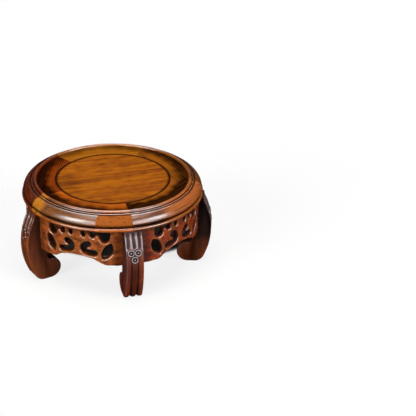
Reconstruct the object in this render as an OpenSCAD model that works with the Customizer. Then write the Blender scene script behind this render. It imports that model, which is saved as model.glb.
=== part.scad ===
// Round hardwood stand for a vase: a ring frame jointed from five segments, a floating panel,
// five bowed legs with scrolled feet, and five pierced aprons between the legs.
// Millimetres, +Z up, origin on the stand's axis at floor level, first leg towards -Y.

/* [Overall] */
// Diameter over the lower bead of the frame
frame_d = 200; // [190:1:230]
// Height from the floor to the top of the rim
stand_h = 100; // [94:1:115]

/* [Frame] */
// Thickness from the underside to the top of the rim
frame_t = 19; // [17.5:0.5:21]
// Width from the lower bead to the panel opening
frame_w = 37; // [35:0.5:42]
// Height of the rim above the sunk field
rim_h = 3.4; // [2.5:0.1:5]
// Width of the rounded rim
rim_w = 4; // [3:0.1:5]
// Distance from the lower bead in to the middle of the rim
rim_set = 14.5; // [13:0.1:16]
// Width of the ledge outside the rim
ledge_w = 1; // [0.6:0.1:2]
// Drop from the top of the rim to the ledge
ledge_drop = 2.5; // [2:0.1:3]
// Drop from the ledge to the top of the round moulding
ovolo_step = 0.6; // [0.2:0.1:1]
// Distance from the lower bead in to the face of the round moulding
ovolo_set = 1.2; // [0.8:0.1:2]
// Radius of the lower bead
bead_r = 2.1; // [1.5:0.1:2.4]
// Depth of the quirk between the round moulding and the lower bead
quirk_depth = 1.2; // [0.6:0.1:2]

/* [Panel] */
// Thickness of the panel
panel_t = 8; // [7:0.5:10]
// Width of the open line between the panel and the frame
panel_gap = 1; // [0.5:0.1:2]
// Length of the tongue in the frame's groove
panel_tongue = 4; // [3:0.1:5]
// Thickness of that tongue
panel_tongue_t = 3; // [2:0.1:4]
// Width of the eased edges along the open line
panel_ease = 0.4; // [0.2:0.1:0.8]

/* [Legs] */
// Width of a leg across its flat sides
leg_w = 19; // [17:0.5:22]
// Reach of the leg's top beyond the lower bead
neck_reach = 1.5; // [0.5:0.1:3]
// Radius of the hollow under the leg's top
neck_r = 13; // [10:0.5:18]
// Reach of the knee beyond the lower bead
knee_reach = 10.5; // [8:0.5:13]
// Height of the knee's fullest point
knee_z = 42; // [38:1:46]
// Distance from the lower bead in to the leg's inner side
leg_inset = 12.5; // [12.5:0.1:14]
// Distance from the lower bead in to the outer end of the foot's flat
foot_inset = 8; // [7:0.5:9]
// Radius of the heel
heel_r = 12; // [9:0.5:13]
// Distance from the lower bead in to the middle of the scrolled toe
toe_inset = 16; // [15:0.5:18]
// Radius of the scrolled toe
toe_r = 11.8; // [10:0.1:13]
// Radius of the hollow between the toe and the leg
crook_r = 3; // [2:0.1:4]

/* [Leg carving] */
// Width of a flute
flute_w = 4.4; // [3.6:0.1:4.8]
// Depth of a flute
flute_depth = 1.2; // [0.8:0.1:1.6]
// Distance between the flutes
flute_pitch = 6; // [5.4:0.1:6.2]
// Height at which the flutes end
flute_end_z = 66; // [65:0.5:68]
// Radius of a ringlet
ringlet_r = 3.7; // [3:0.1:4]
// Height of a ringlet above the leg's face
ringlet_h = 0.7; // [0.4:0.1:1.2]
// Width of a ringlet's raised edge
ringlet_edge = 1.3; // [0.8:0.1:1.4]
// Radius of the dot in a ringlet
ringlet_dot_r = 1.2; // [0.8:0.1:1.4]
// Height of the upper pair of ringlets
ringlet_z = 60.3; // [58:0.1:61]
// Distance between the upper ringlets
ringlet_pitch = 7.6; // [7.4:0.1:8.4]
// Drop from the upper ringlets to the lower one
ringlet_drop = 7; // [6.8:0.1:9]
// Distance between the long grooves below the ringlets
groove_pitch = 7; // [6:0.1:9]
// Width of a long groove at the heel
groove_w = 3.5; // [2:0.1:4]
// Depth of a long groove at the heel
groove_depth = 1.4; // [0.8:0.1:1.6]
// Depth of a long groove at its top
groove_top_depth = 0.2; // [0.1:0.05:0.6]
// Height at which the long grooves start, less their slide up the leg
groove_top_z = 44.5; // [43:0.5:46]

/* [Leg joints] */
// Width of the tenon on top of a leg
tenon_w = 11; // [8:0.5:13]
// Thickness of that tenon along the radius
tenon_t = 7; // [6:0.1:8]
// Height of that tenon
tenon_h = 8; // [6:0.5:9]
// Distance from the leg's inner side to the tenon
tenon_set = 1.5; // [1:0.1:2]
// Length of the loose tongue along a frame seam
spline_w = 12; // [8:0.5:13]
// Length of the loose tongue across a frame seam
spline_l = 12; // [8:0.5:16]
// Thickness of the loose tongue
spline_t = 4; // [3:0.5:5]

/* [Aprons] */
// Thickness of an apron
apron_t = 8; // [7:0.1:8.5]
// Distance from the lower bead in to the apron's face
apron_inset = 3.5; // [2.5:0.1:4]
// Height of an apron at its ends
apron_h = 41; // [39:0.5:44]
// Rise of the arched lower edge
arch_rise = 10; // [7:0.5:10.5]
// Half of the arch's span
arch_half = 36; // [32:0.5:38]
// Radius of the arch's turned-out ends
arch_end_r = 20; // [12:1:24]
// Dip of those ends past the straight edge, which gives a crisp corner
arch_dip = 0.3; // [0.1:0.1:0.6]
// Length of the tongues on an apron's ends
apron_tongue = 3; // [2:0.1:3.5]
// Thickness of those tongues
apron_tongue_t = 4; // [3:0.1:5]
// Bare length at the foot of a tongue, which hides its groove
tongue_shoulder = 3; // [2:0.1:5]
// Diameter of the pegs between apron and frame
peg_d = 4; // [3:0.1:4.5]
// Length of a peg
peg_l = 16; // [10:0.5:18]
// Distance from a leg's side to the peg
peg_set = 7.5; // [6:0.1:9]

/* [Piercing] */
// Distance from the apron's middle to the middle of the leaf
leaf_s = 33; // [32:0.1:34]
// Drop from the frame to the middle of the leaf
leaf_drop = 24.8; // [24:0.1:26]
// Length of the leaf
leaf_l = 22; // [18:0.1:23]
// Width of the leaf
leaf_w = 11.5; // [8:0.1:12.5]
// Lean of the leaf away from upright, in degrees
leaf_lean = 27; // [20:1:35]
// Distance from the apron's middle to the middle of the hook
hook_s = 11.5; // [11:0.1:12]
// Drop from the frame to the middle of the hook
hook_drop = 21.7; // [21:0.1:22.5]
// Radius of the hook's outer curve
hook_r = 8.5; // [8:0.1:9]
// Radius of the hook's upper eye
hook_eye_r = 4.4; // [4.2:0.1:4.7]
// Radius of the hook's lower lobe
hook_lobe_r = 3.7; // [3.5:0.1:4]
// Radius of the tongue that curls into the hook
hook_tip_r = 1.5; // [1.3:0.1:1.7]
// Distance from the apron's middle to the big notch in the top edge
bay_s = 30.3; // [29.5:0.1:31]
// Radius of the big notch
bay_r = 5.9; // [5:0.1:6.2]
// Drop from the frame to the middle of the big notch
bay_drop = 8.6; // [8:0.1:9]
// Distance from the apron's middle to the little notch beside it
cove_s = 17.5; // [17:0.1:18]
// Radius of the little notch
cove_r = 3.2; // [2.5:0.1:3.5]
// Distance from the apron's middle to the notch beside the middle tab
nick_s = 7.2; // [6.5:0.1:7.5]
// Radius of the notch beside the middle tab
nick_r = 2.6; // [2:0.1:3]
// Drop from the frame to the middles of the two smaller notches
notch_drop = 6.2; // [5.5:0.1:7]

/* [Fit] */
// Clearance on each side of a tenon, tongue or peg
fit = 0.1; // [0.05:0.05:0.2]

/* [Hidden] */
$fn = 64;
bays = 5;
bay_angle = 360 / bays;
half_turn = 180;
past = 1;

frame_r = frame_d / 2;
under_z = stand_h - frame_t;
field_z = stand_h - rim_h;
open_r = frame_r - frame_w;
rim_r = frame_r - rim_set;
ledge_z = stand_h - ledge_drop;
ledge_r = rim_r + rim_w / 2 + ledge_w;
ovolo_top = ledge_z - ovolo_step;
ovolo_r = frame_r - ovolo_set - ledge_r;
ovolo_z = ovolo_top - ovolo_r;
quirk_r = frame_r - ovolo_set - quirk_depth;

panel_r = open_r - panel_gap;
tongue_r = open_r + panel_tongue;
tongue_z = field_z - (panel_t + panel_tongue_t) / 2;

leg_in_r = frame_r - leg_inset;
neck_top_r = frame_r + neck_reach;
knee_r = frame_r + knee_reach;
foot_r = frame_r - foot_inset;
toe_mid_r = frame_r - toe_inset;

// The leg's outer line: a hollow neck, an upper and a lower bow that meet at the knee, and the heel.
// Neck and heel would be tangent to the bows, but bite into them and so leave a faint corner
neck_bite = 0.8;
heel_bite = 1;
neck_rise = under_z - knee_z;
neck_run = knee_r - neck_top_r;
upper_bow = (neck_rise ^ 2 + neck_run ^ 2) / (2 * neck_run) - neck_r + neck_bite;
neck_turn = asin(neck_rise / (upper_bow + neck_r));
heel_run = knee_r - foot_r;
heel_rise = knee_z - heel_r;
lower_bow = (heel_run ^ 2 + heel_rise ^ 2 - heel_r ^ 2) / (2 * (heel_run - heel_r)) - heel_bite;
heel_turn = asin(heel_rise / (lower_bow - heel_r));
upper_mid_r = knee_r - upper_bow;
lower_mid_r = knee_r - lower_bow;
neck_mid_r = neck_top_r + neck_r;
crook_mid_r = leg_in_r - crook_r;
crook_mid_z = toe_r + sqrt((toe_r + crook_r) ^ 2 - (crook_mid_r - toe_mid_r) ^ 2);

// Turn by which a channel's two cutters overlap each way, in degrees: a flute's at the neck's foot,
// a long groove's at the heel's top
flute_lap = 1;
groove_lap = 3;
// A cutter of this radius makes a channel of the given width and depth
function channel_r(width, depth) = (width ^ 2 / 4 + depth ^ 2) / (2 * depth);

tenon_in_r = leg_in_r + tenon_set;
tenon_mid_r = tenon_in_r + tenon_t / 2;
spline_mid_r = (tongue_r + tenon_in_r) / 2;
spline_z = (under_z + field_z) / 2;

apron_r = frame_r - apron_inset;
apron_mid_r = apron_r - apron_t / 2;
apron_end_z = under_z - apron_h;
arch_top_z = apron_end_z + arch_rise;
arch_drop = arch_rise + arch_dip;
// The arch's ends bite into its middle, and a lobe's straight part is slimmer than its round ends:
// the curves cross at a faint corner, where they would be tangent
arch_bite = 0.4;
lobe_bite = 0.15;
arch_r = (arch_half ^ 2 + arch_drop ^ 2) / (2 * arch_drop) - arch_end_r + arch_bite;
arch_turn_z = arch_top_z - arch_drop * arch_r / (arch_r + arch_end_r);
tongue_foot_z = apron_end_z + tongue_shoulder;
peg_side = leg_w / 2 + peg_set;
peg_angle = asin(peg_side / apron_mid_r);

numbers = [1:bays];

// Turns children so that +X points outwards over leg n
module at_leg(n) {
    rotate([0, 0, (n - 1) * bay_angle - 90]) children();
}

// Draws children at both ends of a bay, whose first leg lies along +X
module at_bay_ends() {
    children();
    rotate([0, 0, bay_angle]) mirror([0, 1, 0]) children();
}

// Frame section, with the radius along X and the height along Y
module frame_section() {
    difference() {
        union() {
            translate([open_r, under_z]) square([quirk_r - open_r, ovolo_z - under_z]);
            translate([open_r, under_z]) square([ledge_r - open_r, field_z - under_z]);
            translate([open_r, under_z]) square([frame_r - bead_r - open_r, 2 * bead_r]);
            translate([frame_r - bead_r, under_z + bead_r]) circle(r = bead_r);
            translate([rim_r - rim_w / 2, under_z]) square([rim_w, frame_t - rim_w / 2]);
            translate([rim_r, stand_h - rim_w / 2]) circle(r = rim_w / 2);
            translate([rim_r, under_z]) square([ledge_r - rim_r, ledge_z - under_z]);
            intersection() {
                translate([ledge_r, ovolo_z]) circle(r = ovolo_r);
                translate([ledge_r, ovolo_z]) square(ovolo_r);
            }
        }
        translate([open_r - past, tongue_z - fit])
            square([panel_tongue + fit + past, panel_tongue_t + 2 * fit]);
        translate([open_r, field_z]) rotate(45) square(panel_ease * sqrt(2), center = true);
    }
}

module spline_block(slack) {
    translate([spline_mid_r, 0, spline_z])
        cube([spline_w, spline_l, spline_t] + 2 * slack * [1, 1, 1], center = true);
}

// The tenon of a leg along +X, from inside the leg's shoulder upwards
module tenon_block(slack, foot) {
    translate([tenon_in_r - slack, -tenon_w / 2 - slack, under_z - foot])
        cube([tenon_t + 2 * slack, tenon_w + 2 * slack, tenon_h + foot + slack]);
}

module peg(slack) {
    rotate([0, 0, peg_angle]) translate([apron_mid_r, 0, under_z])
        cylinder(d = peg_d + 2 * slack, h = peg_l + 2 * slack, center = true);
}

module rim_segment(n) {
    color("#8a4a22") at_leg(n) difference() {
        rotate_extrude(angle = bay_angle) frame_section();
        at_bay_ends() {
            spline_block(fit);
            tenon_block(fit, past);
            peg(fit);
        }
    }
}

module seam_spline(n) {
    color("#6b3a1e") at_leg(n) spline_block(0);
}

module panel() {
    color("#a5611f") rotate_extrude() {
        difference() {
            translate([0, field_z - panel_t]) square([panel_r, panel_t]);
            translate([panel_r, field_z]) rotate(45) square(panel_ease * sqrt(2), center = true);
        }
        translate([0, tongue_z]) square([tongue_r, panel_tongue_t]);
    }
}

// Side view of a leg, with the radius along X and the height along Y
module leg_side() {
    neck_foot_r = upper_mid_r + upper_bow * cos(neck_turn);
    neck_foot_z = knee_z + upper_bow * sin(neck_turn);
    heel_top_z = knee_z - lower_bow * sin(heel_turn);
    difference() {
        union() {
            intersection() {
                translate([upper_mid_r, knee_z]) circle(r = upper_bow);
                translate([leg_in_r, knee_z]) square([knee_r - leg_in_r, neck_rise]);
            }
            translate([leg_in_r, neck_foot_z]) square([neck_foot_r - leg_in_r, under_z - neck_foot_z]);
        }
        translate([neck_mid_r, under_z]) circle(r = neck_r);
    }
    intersection() {
        translate([lower_mid_r, knee_z]) circle(r = lower_bow);
        union() {
            translate([leg_in_r, heel_top_z]) square([knee_r - leg_in_r, knee_z - heel_top_z]);
            translate([foot_r, heel_r]) circle(r = heel_r);
            translate([toe_mid_r, 0]) square([foot_r - toe_mid_r, toe_r]);
        }
    }
    translate([leg_in_r, toe_r]) square([foot_r - leg_in_r, under_z - toe_r]);
    translate([toe_mid_r, toe_r]) circle(r = toe_r);
    difference() {
        polygon([[toe_mid_r, toe_r], [leg_in_r, toe_r], [leg_in_r, crook_mid_z], [crook_mid_r, crook_mid_z]]);
        translate([crook_mid_r, crook_mid_z]) circle(r = crook_r);
    }
}

// A round-bottomed cutter bent along an arc of the leg's side view
module bent_cutter(mid_r, mid_z, bend_r, cut_r, from, to) {
    translate([mid_r, 0, mid_z]) rotate([90, 0, 0]) rotate([0, 0, from])
        rotate_extrude(angle = to - from) translate([bend_r, 0]) circle(r = cut_r);
}

module flute() {
    cut_r = channel_r(flute_w, flute_depth);
    lift = cut_r - flute_depth;
    end_turn = asin((flute_end_z - knee_z) / upper_bow);
    bent_cutter(upper_mid_r, knee_z, upper_bow + lift, cut_r, end_turn, neck_turn + flute_lap);
    bent_cutter(
        neck_mid_r, under_z, neck_r - lift, cut_r,
        half_turn - neck_turn, half_turn + neck_turn + flute_lap
    );
    translate([upper_mid_r, 0, knee_z]) rotate([0, -end_turn, 0])
        translate([upper_bow + lift, 0, 0]) sphere(r = cut_r);
}

// A groove that deepens and widens steadily from its top to the heel, and runs on round the heel:
// its cutter's arc follows the lower bow, but is slid up along the tangent at the groove's top
module long_groove() {
    cut_r = channel_r(groove_w, groove_depth);
    top_turn = asin((groove_top_z - knee_z) / lower_bow);
    slide = (groove_depth - groove_top_depth) / sin(top_turn + heel_turn);
    bent_cutter(
        lower_mid_r - slide * sin(top_turn), knee_z + slide * cos(top_turn),
        lower_bow + cut_r - groove_top_depth, cut_r, -heel_turn - groove_lap, top_turn
    );
    bent_cutter(foot_r, heel_r, heel_r + cut_r - groove_depth, cut_r, -90, groove_lap - heel_turn);
}

// Stands children, drawn upwards from the XY plane, on the leg's face above the knee
module on_knee(side, z) {
    translate([upper_mid_r, side, knee_z]) rotate([0, 90 - asin((z - knee_z) / upper_bow), 0])
        translate([0, 0, upper_bow]) children();
}

module at_ringlets() {
    for (side = [-ringlet_pitch / 2, ringlet_pitch / 2])
        on_knee(side, ringlet_z) children();
    on_knee(0, ringlet_z - ringlet_drop) children();
}

module apron_wall(thickness, foot_z) {
    difference() {
        translate([0, 0, foot_z]) cylinder(r = apron_mid_r + thickness / 2, h = under_z - foot_z);
        translate([0, 0, foot_z - past])
            cylinder(r = apron_mid_r - thickness / 2, h = under_z - foot_z + 2 * past);
    }
}

// Tongue grooves in a leg's two sides
module tongue_grooves() {
    depth = apron_tongue + fit;
    for (side = [-leg_w / 2 - past, leg_w / 2 - depth]) intersection() {
        apron_wall(apron_tongue_t + 2 * fit, tongue_foot_z - fit);
        translate([leg_in_r, side, 0]) cube([knee_r - leg_in_r, depth + past, stand_h]);
    }
}

module leg(n) {
    color("#5c2a1c") at_leg(n) {
        difference() {
            union() {
                rotate([-90, 0, 0]) linear_extrude(height = leg_w, center = true) mirror([0, 1]) leg_side();
                at_ringlets() translate([0, 0, -ringlet_h]) cylinder(r = ringlet_r, h = 2 * ringlet_h);
                tenon_block(0, past);
            }
            for (side = [-1:1]) translate([0, side * flute_pitch, 0]) flute();
            for (side = [-0.5, 0.5]) translate([0, side * groove_pitch, 0]) long_groove();
            at_ringlets() difference() {
                translate([0, 0, -ringlet_h / 2]) cylinder(r = ringlet_r - ringlet_edge, h = 2 * ringlet_h);
                translate([0, 0, -ringlet_h]) cylinder(r = ringlet_dot_r, h = 2 * ringlet_h);
            }
            tongue_grooves();
        }
    }
}

// Cuts through an apron at a distance from its middle, drawn with the height along Y
module pierce(s) {
    rotate([0, 0, s / apron_r * half_turn / PI]) translate([apron_r / 2, 0, 0]) rotate([90, 0, 90])
        linear_extrude(height = apron_r) children();
}

module leaf_hole() {
    side_r = (leaf_l ^ 2 + leaf_w ^ 2) / (4 * leaf_w);
    translate([0, under_z - leaf_drop]) rotate(-leaf_lean) intersection() {
        translate([side_r - leaf_w / 2, 0]) circle(r = side_r);
        translate([leaf_w / 2 - side_r, 0]) circle(r = side_r);
    }
}

// A hook-shaped hole: an outer curve with an upper eye, and a lobe that runs out below a curled tongue
module hook_hole() {
    eye = hook_r * [-0.05, 0.54];
    lobe = hook_r * [0, -0.6];
    far_lobe = hook_r * [0.9, -0.72];
    tip = hook_r * [0.1, -0.035];
    lobe_run = far_lobe - lobe;
    waist = 2 * (hook_lobe_r - lobe_bite);
    translate([0, under_z - hook_drop]) difference() {
        union() {
            intersection() {
                circle(r = hook_r);
                union() {
                    translate(-2 * hook_r * [1, 1]) square([2 * hook_r + tip[0], 4 * hook_r]);
                    translate(eye) circle(r = hook_eye_r);
                }
            }
            translate(lobe) circle(r = hook_lobe_r);
            translate(far_lobe) circle(r = hook_lobe_r);
            translate(lobe) rotate(atan2(lobe_run[1], lobe_run[0]))
                translate([0, -waist / 2]) square([norm(lobe_run), waist]);
        }
        translate(tip) circle(r = hook_tip_r);
    }
}

// A round-bottomed notch in the apron's top edge
module notch(radius, drop) {
    translate([0, under_z - drop]) circle(r = radius);
    translate([-radius, under_z - drop]) square([2 * radius, drop + past]);
}

// The big notch and the little one beside it, drawn about the middle between them
module bay_notch() {
    half = (bay_s - cove_s) / 2;
    translate([half, 0]) notch(bay_r, bay_drop);
    translate([-half, 0]) notch(cove_r, notch_drop);
    translate([-half, under_z - notch_drop]) square([2 * half, notch_drop + past]);
}

// The outline of what is cut away along an apron's arched lower edge
module arch() {
    foot_z = apron_end_z - 2 * past;
    difference() {
        union() {
            translate([0, arch_top_z - arch_r]) circle(r = arch_r);
            translate([-arch_half, foot_z]) square([2 * arch_half, arch_turn_z - foot_z]);
        }
        for (side = [-1, 1])
            translate([side * arch_half, apron_end_z - arch_dip + arch_end_r]) circle(r = arch_end_r);
    }
}

// The slab of a leg along +X, less the given depth on each side
module leg_slab(depth) {
    translate([0, depth - leg_w / 2, -past]) cube([frame_d, leg_w - 2 * depth, stand_h]);
}

module apron(n) {
    color("#9a4a20") at_leg(n) difference() {
        union() {
            difference() {
                bay_wall(apron_t, apron_end_z);
                at_bay_ends() leg_slab(0);
            }
            difference() {
                bay_wall(apron_tongue_t, tongue_foot_z);
                at_bay_ends() leg_slab(apron_tongue);
            }
        }
        rotate([0, 0, bay_angle / 2]) {
            pierce(0) arch();
            for (half = [0, 1]) mirror([0, half, 0]) {
                pierce(leaf_s) leaf_hole();
                pierce(hook_s) hook_hole();
                pierce((bay_s + cove_s) / 2) bay_notch();
                pierce(nick_s) notch(nick_r, notch_drop);
            }
        }
        at_bay_ends() peg(fit);
    }
}

// The part of an apron's wall between two leg axes
module bay_wall(thickness, foot_z) {
    rotate_extrude(angle = bay_angle)
        translate([apron_mid_r - thickness / 2, foot_z]) square([thickness, under_z - foot_z]);
}

module apron_pegs() {
    color("#c9a460") for (n = numbers) at_leg(n) at_bay_ends() peg(0);
}

for (n = numbers) {
    rim_segment(n);
    seam_spline(n);
    leg(n);
    apron(n);
}
panel();
apron_pegs();
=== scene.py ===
"""Round Chinese hardwood vase stand, dressed over its CAD frame.

Lengths are millimetres in the stand's own frame, with +Z up, the axis at the origin and the first leg
towards -Y. They turn into metres where a mesh is made.
"""

import logging
import math
from dataclasses import dataclass, replace
from enum import Enum
from typing import Any, Sequence

import bmesh
import bpy
import numpy as np
from mathutils import Matrix, Vector
from mathutils.geometry import delaunay_2d_cdt

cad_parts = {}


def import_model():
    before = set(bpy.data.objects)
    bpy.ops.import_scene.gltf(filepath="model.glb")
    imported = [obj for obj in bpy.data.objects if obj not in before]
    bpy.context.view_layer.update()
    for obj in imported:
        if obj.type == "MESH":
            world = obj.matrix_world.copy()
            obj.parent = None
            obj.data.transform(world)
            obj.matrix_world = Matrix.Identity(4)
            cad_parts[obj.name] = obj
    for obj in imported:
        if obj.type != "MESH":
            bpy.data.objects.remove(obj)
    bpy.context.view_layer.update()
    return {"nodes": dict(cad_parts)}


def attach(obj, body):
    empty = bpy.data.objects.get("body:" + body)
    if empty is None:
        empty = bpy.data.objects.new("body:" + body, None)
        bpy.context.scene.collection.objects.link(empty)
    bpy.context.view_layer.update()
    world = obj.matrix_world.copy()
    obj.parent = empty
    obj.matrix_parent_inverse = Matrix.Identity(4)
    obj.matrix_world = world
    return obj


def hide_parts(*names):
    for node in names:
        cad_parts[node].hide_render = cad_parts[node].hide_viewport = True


LOG = logging.getLogger("vase_stand")

Array = np.ndarray
Tree = bpy.types.NodeTree
Socket = bpy.types.NodeSocket
Pair = tuple[float, float]
Face = tuple[int, ...]
GridEdge = tuple[int, int, int]

MM = 0.001
BAYS = 5
BAY_ANGLE = math.tau / BAYS
FIRST_LEG = -math.pi / 2
UNDER_Z = 81.0
FIELD_Z = 96.6
TINY = 1e-6


def leg_azimuth(number: int) -> float:
    """Return the azimuth of a numbered leg, in radians."""
    return FIRST_LEG + (number - 1) * BAY_ANGLE


def srgb(code: str) -> tuple[float, float, float, float]:
    """Turn an sRGB hex colour into linear RGBA.

    Args:
        code: The colour as "#rrggbb".

    Returns:
        Linear red, green, blue and an alpha of one.
    """
    linear = []
    for start in (1, 3, 5):
        value = int(code[start : start + 2], 16) / 255
        linear.append(value / 12.92 if value <= 0.04045 else ((value + 0.055) / 1.055) ** 2.4)
    return (*linear, 1.0)


def add_node(tree: Tree, kind: str, inputs: dict[Any, Any] | None = None, **settings: Any) -> Any:
    """Add a node with its settings, values and links.

    Args:
        tree: The tree that gets the node.
        kind: The node's Blender type.
        inputs: Values for its input sockets by name or index, where a socket as value makes a link.
        **settings: The node's own properties.

    Returns:
        The new node.
    """
    node = tree.nodes.new(kind)
    for name, value in settings.items():
        setattr(node, name, value)
    for key, value in (inputs or {}).items():
        if isinstance(value, Socket):
            tree.links.new(value, node.inputs[key])
        else:
            node.inputs[key].default_value = value
    return node


def smoothstep(low: float, high: float, value: Array) -> Array:
    """Return 0 below low, 1 above high and a soft ramp between."""
    t = np.clip((np.asarray(value, dtype=float) - low) / (high - low), 0.0, 1.0)
    return t * t * (3.0 - 2.0 * t)


def fading(away: Array, reach: float, clear: float = 0.0) -> Array:
    """Return 1 up to a clear distance, fading out over a reach beyond it."""
    return np.exp(-np.maximum(away - clear, 0.0) / reach)


def arc(centre: Pair, radius: float, start: float, end: float, step: float) -> Array:
    """Return points along a circular arc.

    Args:
        centre: The arc's middle.
        radius: Its radius.
        start: The first angle in degrees.
        end: The last angle in degrees.
        step: The distance between points.

    Returns:
        The points, one row each.
    """
    count = max(2, math.ceil(abs(math.radians(end - start)) * radius / step) + 1)
    turn = np.radians(np.linspace(start, end, count))
    return np.c_[centre[0] + radius * np.cos(turn), centre[1] + radius * np.sin(turn)]


def eased(corners: Sequence[tuple[float, float, float]], steps: int = 5, most: float = 0.45) -> Array:
    """Round the corners of a closed outline.

    Args:
        corners: Each corner's two coordinates and how far its rounding reaches along its edges.
        steps: The number of points in a rounding.
        most: The largest part of an edge that a rounding takes.

    Returns:
        The outline's points, one row each.
    """
    points = []
    for index, (x, y, reach) in enumerate(corners):
        here = np.array((x, y))
        if reach == 0.0:
            points.append(here)
            continue
        ends = []
        for other in (corners[index - 1], corners[(index + 1) % len(corners)]):
            run = np.array(other[:2]) - here
            length = float(np.hypot(*run))
            ends.append(here + run / length * min(reach, most * length))
        for t in np.linspace(0.0, 1.0, steps):
            points.append((1 - t) ** 2 * ends[0] + 2 * t * (1 - t) * here + t**2 * ends[1])
    return np.array(points)


def respaced(points: Array, step: float, closed: bool) -> Array:
    """Space points evenly along a line.

    Args:
        points: The line's points.
        step: The wanted distance between points.
        closed: Whether the line returns to its start.

    Returns:
        The new points. A closed line's first point isn't repeated.
    """
    line = np.vstack([points, points[:1]]) if closed else points
    run = np.r_[0.0, np.cumsum(np.hypot(*np.diff(line, axis=0).T))]
    count = max(3, round(run[-1] / step))
    at = np.linspace(0.0, run[-1], count + 1)
    if closed:
        at = at[:-1]
    return np.c_[np.interp(at, run, line[:, 0]), np.interp(at, run, line[:, 1])]


def split_long(points: Array, step: float) -> Array:
    """Put extra points on the long edges of a closed outline.

    Args:
        points: The outline's points.
        step: The longest edge that stays whole.

    Returns:
        The points with the new ones among them.
    """
    split = []
    for here, there in zip(points, np.roll(points, -1, axis=0)):
        count = max(1, math.ceil(float(np.hypot(*(there - here))) / step))
        split.extend(here + (there - here) * k / count for k in range(count))
    return np.array(split)


def softened(field: Array, reach: Pair) -> Array:
    """Blur a sampled field.

    Args:
        field: The samples.
        reach: The blur's standard deviation along each axis, in samples.

    Returns:
        The blurred samples.
    """
    result = field
    for axis, sigma in enumerate(reach):
        half = max(1, math.ceil(3 * sigma))
        weights = np.exp(-0.5 * (np.arange(-half, half + 1) / sigma) ** 2)
        weights /= weights.sum()
        margin = [(half, half) if a == axis else (0, 0) for a in range(2)]
        wide = np.pad(result, margin, mode="edge")
        result = sum(
            weight * np.take(wide, np.arange(k, k + field.shape[axis]), axis=axis)
            for k, weight in enumerate(weights)
        )
    return result


def waver(at: Array, rng: np.random.Generator, lengths: Sequence[float]) -> Array:
    """Return a slow wave of about unit height, as a hand-held tool leaves.

    Args:
        at: Where the wave is wanted.
        rng: The source of the phases.
        lengths: The wavelengths that are added up.

    Returns:
        The wave's heights.
    """
    wave = np.zeros_like(np.asarray(at, dtype=float))
    for length in lengths:
        wave += np.sin(np.asarray(at) * math.tau / length + rng.uniform(0.0, math.tau))
    return wave / math.sqrt(len(lengths))


def traced(field: Array, xs: Array, ys: Array) -> list[Array]:
    """Trace the closed zero lines of a sampled field.

    Args:
        field: Samples by x and y index, positive all along the border.
        xs: The samples' x coordinates.
        ys: The samples' y coordinates.

    Returns:
        One array of points for each closed line.
    """
    inside = field < 0
    corners = inside[:-1, :-1] * 1 + inside[1:, :-1] + inside[:-1, 1:] + inside[1:, 1:]
    links: dict[GridEdge, list[GridEdge]] = {}
    for i, j in np.argwhere((corners > 0) & (corners < 4)).tolist():
        # A cell's corners in turn, each with the grid edge to the next corner
        ring = [
            ((i, j), (i, j, 0)),
            ((i + 1, j), (i + 1, j, 1)),
            ((i + 1, j + 1), (i, j + 1, 0)),
            ((i, j + 1), (i, j, 1)),
        ]
        crossed = [ring[k][1] for k in range(4) if inside[ring[k][0]] != inside[ring[(k + 1) % 4][0]]]
        if len(crossed) == 4 and inside[i, j] == (field[i : i + 2, j : j + 2].mean() < 0):
            crossed = crossed[1:] + crossed[:1]
        for a, b in zip(crossed[::2], crossed[1::2]):
            links.setdefault(a, []).append(b)
            links.setdefault(b, []).append(a)

    def crossing(key: GridEdge) -> Pair:
        """Find the point where the zero line crosses a grid edge.

        Args:
            key: The edge's lower corner, and 1 for an upright edge or 0 for a level one.

        Returns:
            The point.
        """
        i, j, upright = key
        k, m = (i, j + 1) if upright else (i + 1, j)
        t = field[i, j] / (field[i, j] - field[k, m])
        return xs[i] + t * (xs[k] - xs[i]), ys[j] + t * (ys[m] - ys[j])

    loops = []
    while links:
        key = next(iter(links))
        loop = []
        while key is not None:
            loop.append(crossing(key))
            key = next((other for other in links.pop(key) if other in links), None)
        loops.append(np.array(loop))
    return loops


def within(points: Array, loops: Sequence[Array]) -> Array:
    """Tell which points lie inside an odd number of closed loops.

    Args:
        points: The points to test.
        loops: The closed loops.

    Returns:
        One boolean for each point.
    """
    odd = np.zeros(len(points), dtype=bool)
    for loop in loops:
        for (x0, y0), (x1, y1) in zip(loop, np.roll(loop, -1, axis=0)):
            if y0 != y1:
                crossed = (points[:, 1] >= min(y0, y1)) & (points[:, 1] < max(y0, y1))
                odd ^= crossed & (points[:, 0] < x0 + (points[:, 1] - y0) * (x1 - x0) / (y1 - y0))
    return odd


@dataclass(frozen=True)
class SoftStep:
    """A soft step in a shader value, from a low level to a high one over a span of the value."""

    value: Any
    span: Pair
    low: float = 0.0
    high: float = 1.0


def soft_mask(tree: Tree, steps: Sequence[SoftStep], times: Any = 1.0) -> Any:
    """Multiply soft steps into one mask.

    Args:
        tree: The material's tree.
        steps: The steps.
        times: A value or a socket that the steps are multiplied with.

    Returns:
        The mask.
    """
    mask = times
    for step in steps:
        inputs = {"Value": step.value, "To Min": step.low, "To Max": step.high}
        inputs["From Min"], inputs["From Max"] = step.span
        ramp = add_node(tree, "ShaderNodeMapRange", inputs, interpolation_type="SMOOTHSTEP")
        factors = {0: mask, 1: ramp.outputs["Result"]}
        mask = add_node(tree, "ShaderNodeMath", factors, operation="MULTIPLY").outputs[0]
    return mask


class GrainSource(Enum):
    """Where a finish finds the board's own coordinates."""

    BOARD = "board_mm"
    OBJECT = "object"


@dataclass(frozen=True)
class Patch:
    """A stretch of a board with a colour of its own, such as sapwood.

    It starts and ends somewhere along the grain, and its wax can be dull between two heights.
    """

    start: float
    end: float
    feather: float
    color: str
    strength: float
    sway: float
    dull: Pair | None = None


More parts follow.
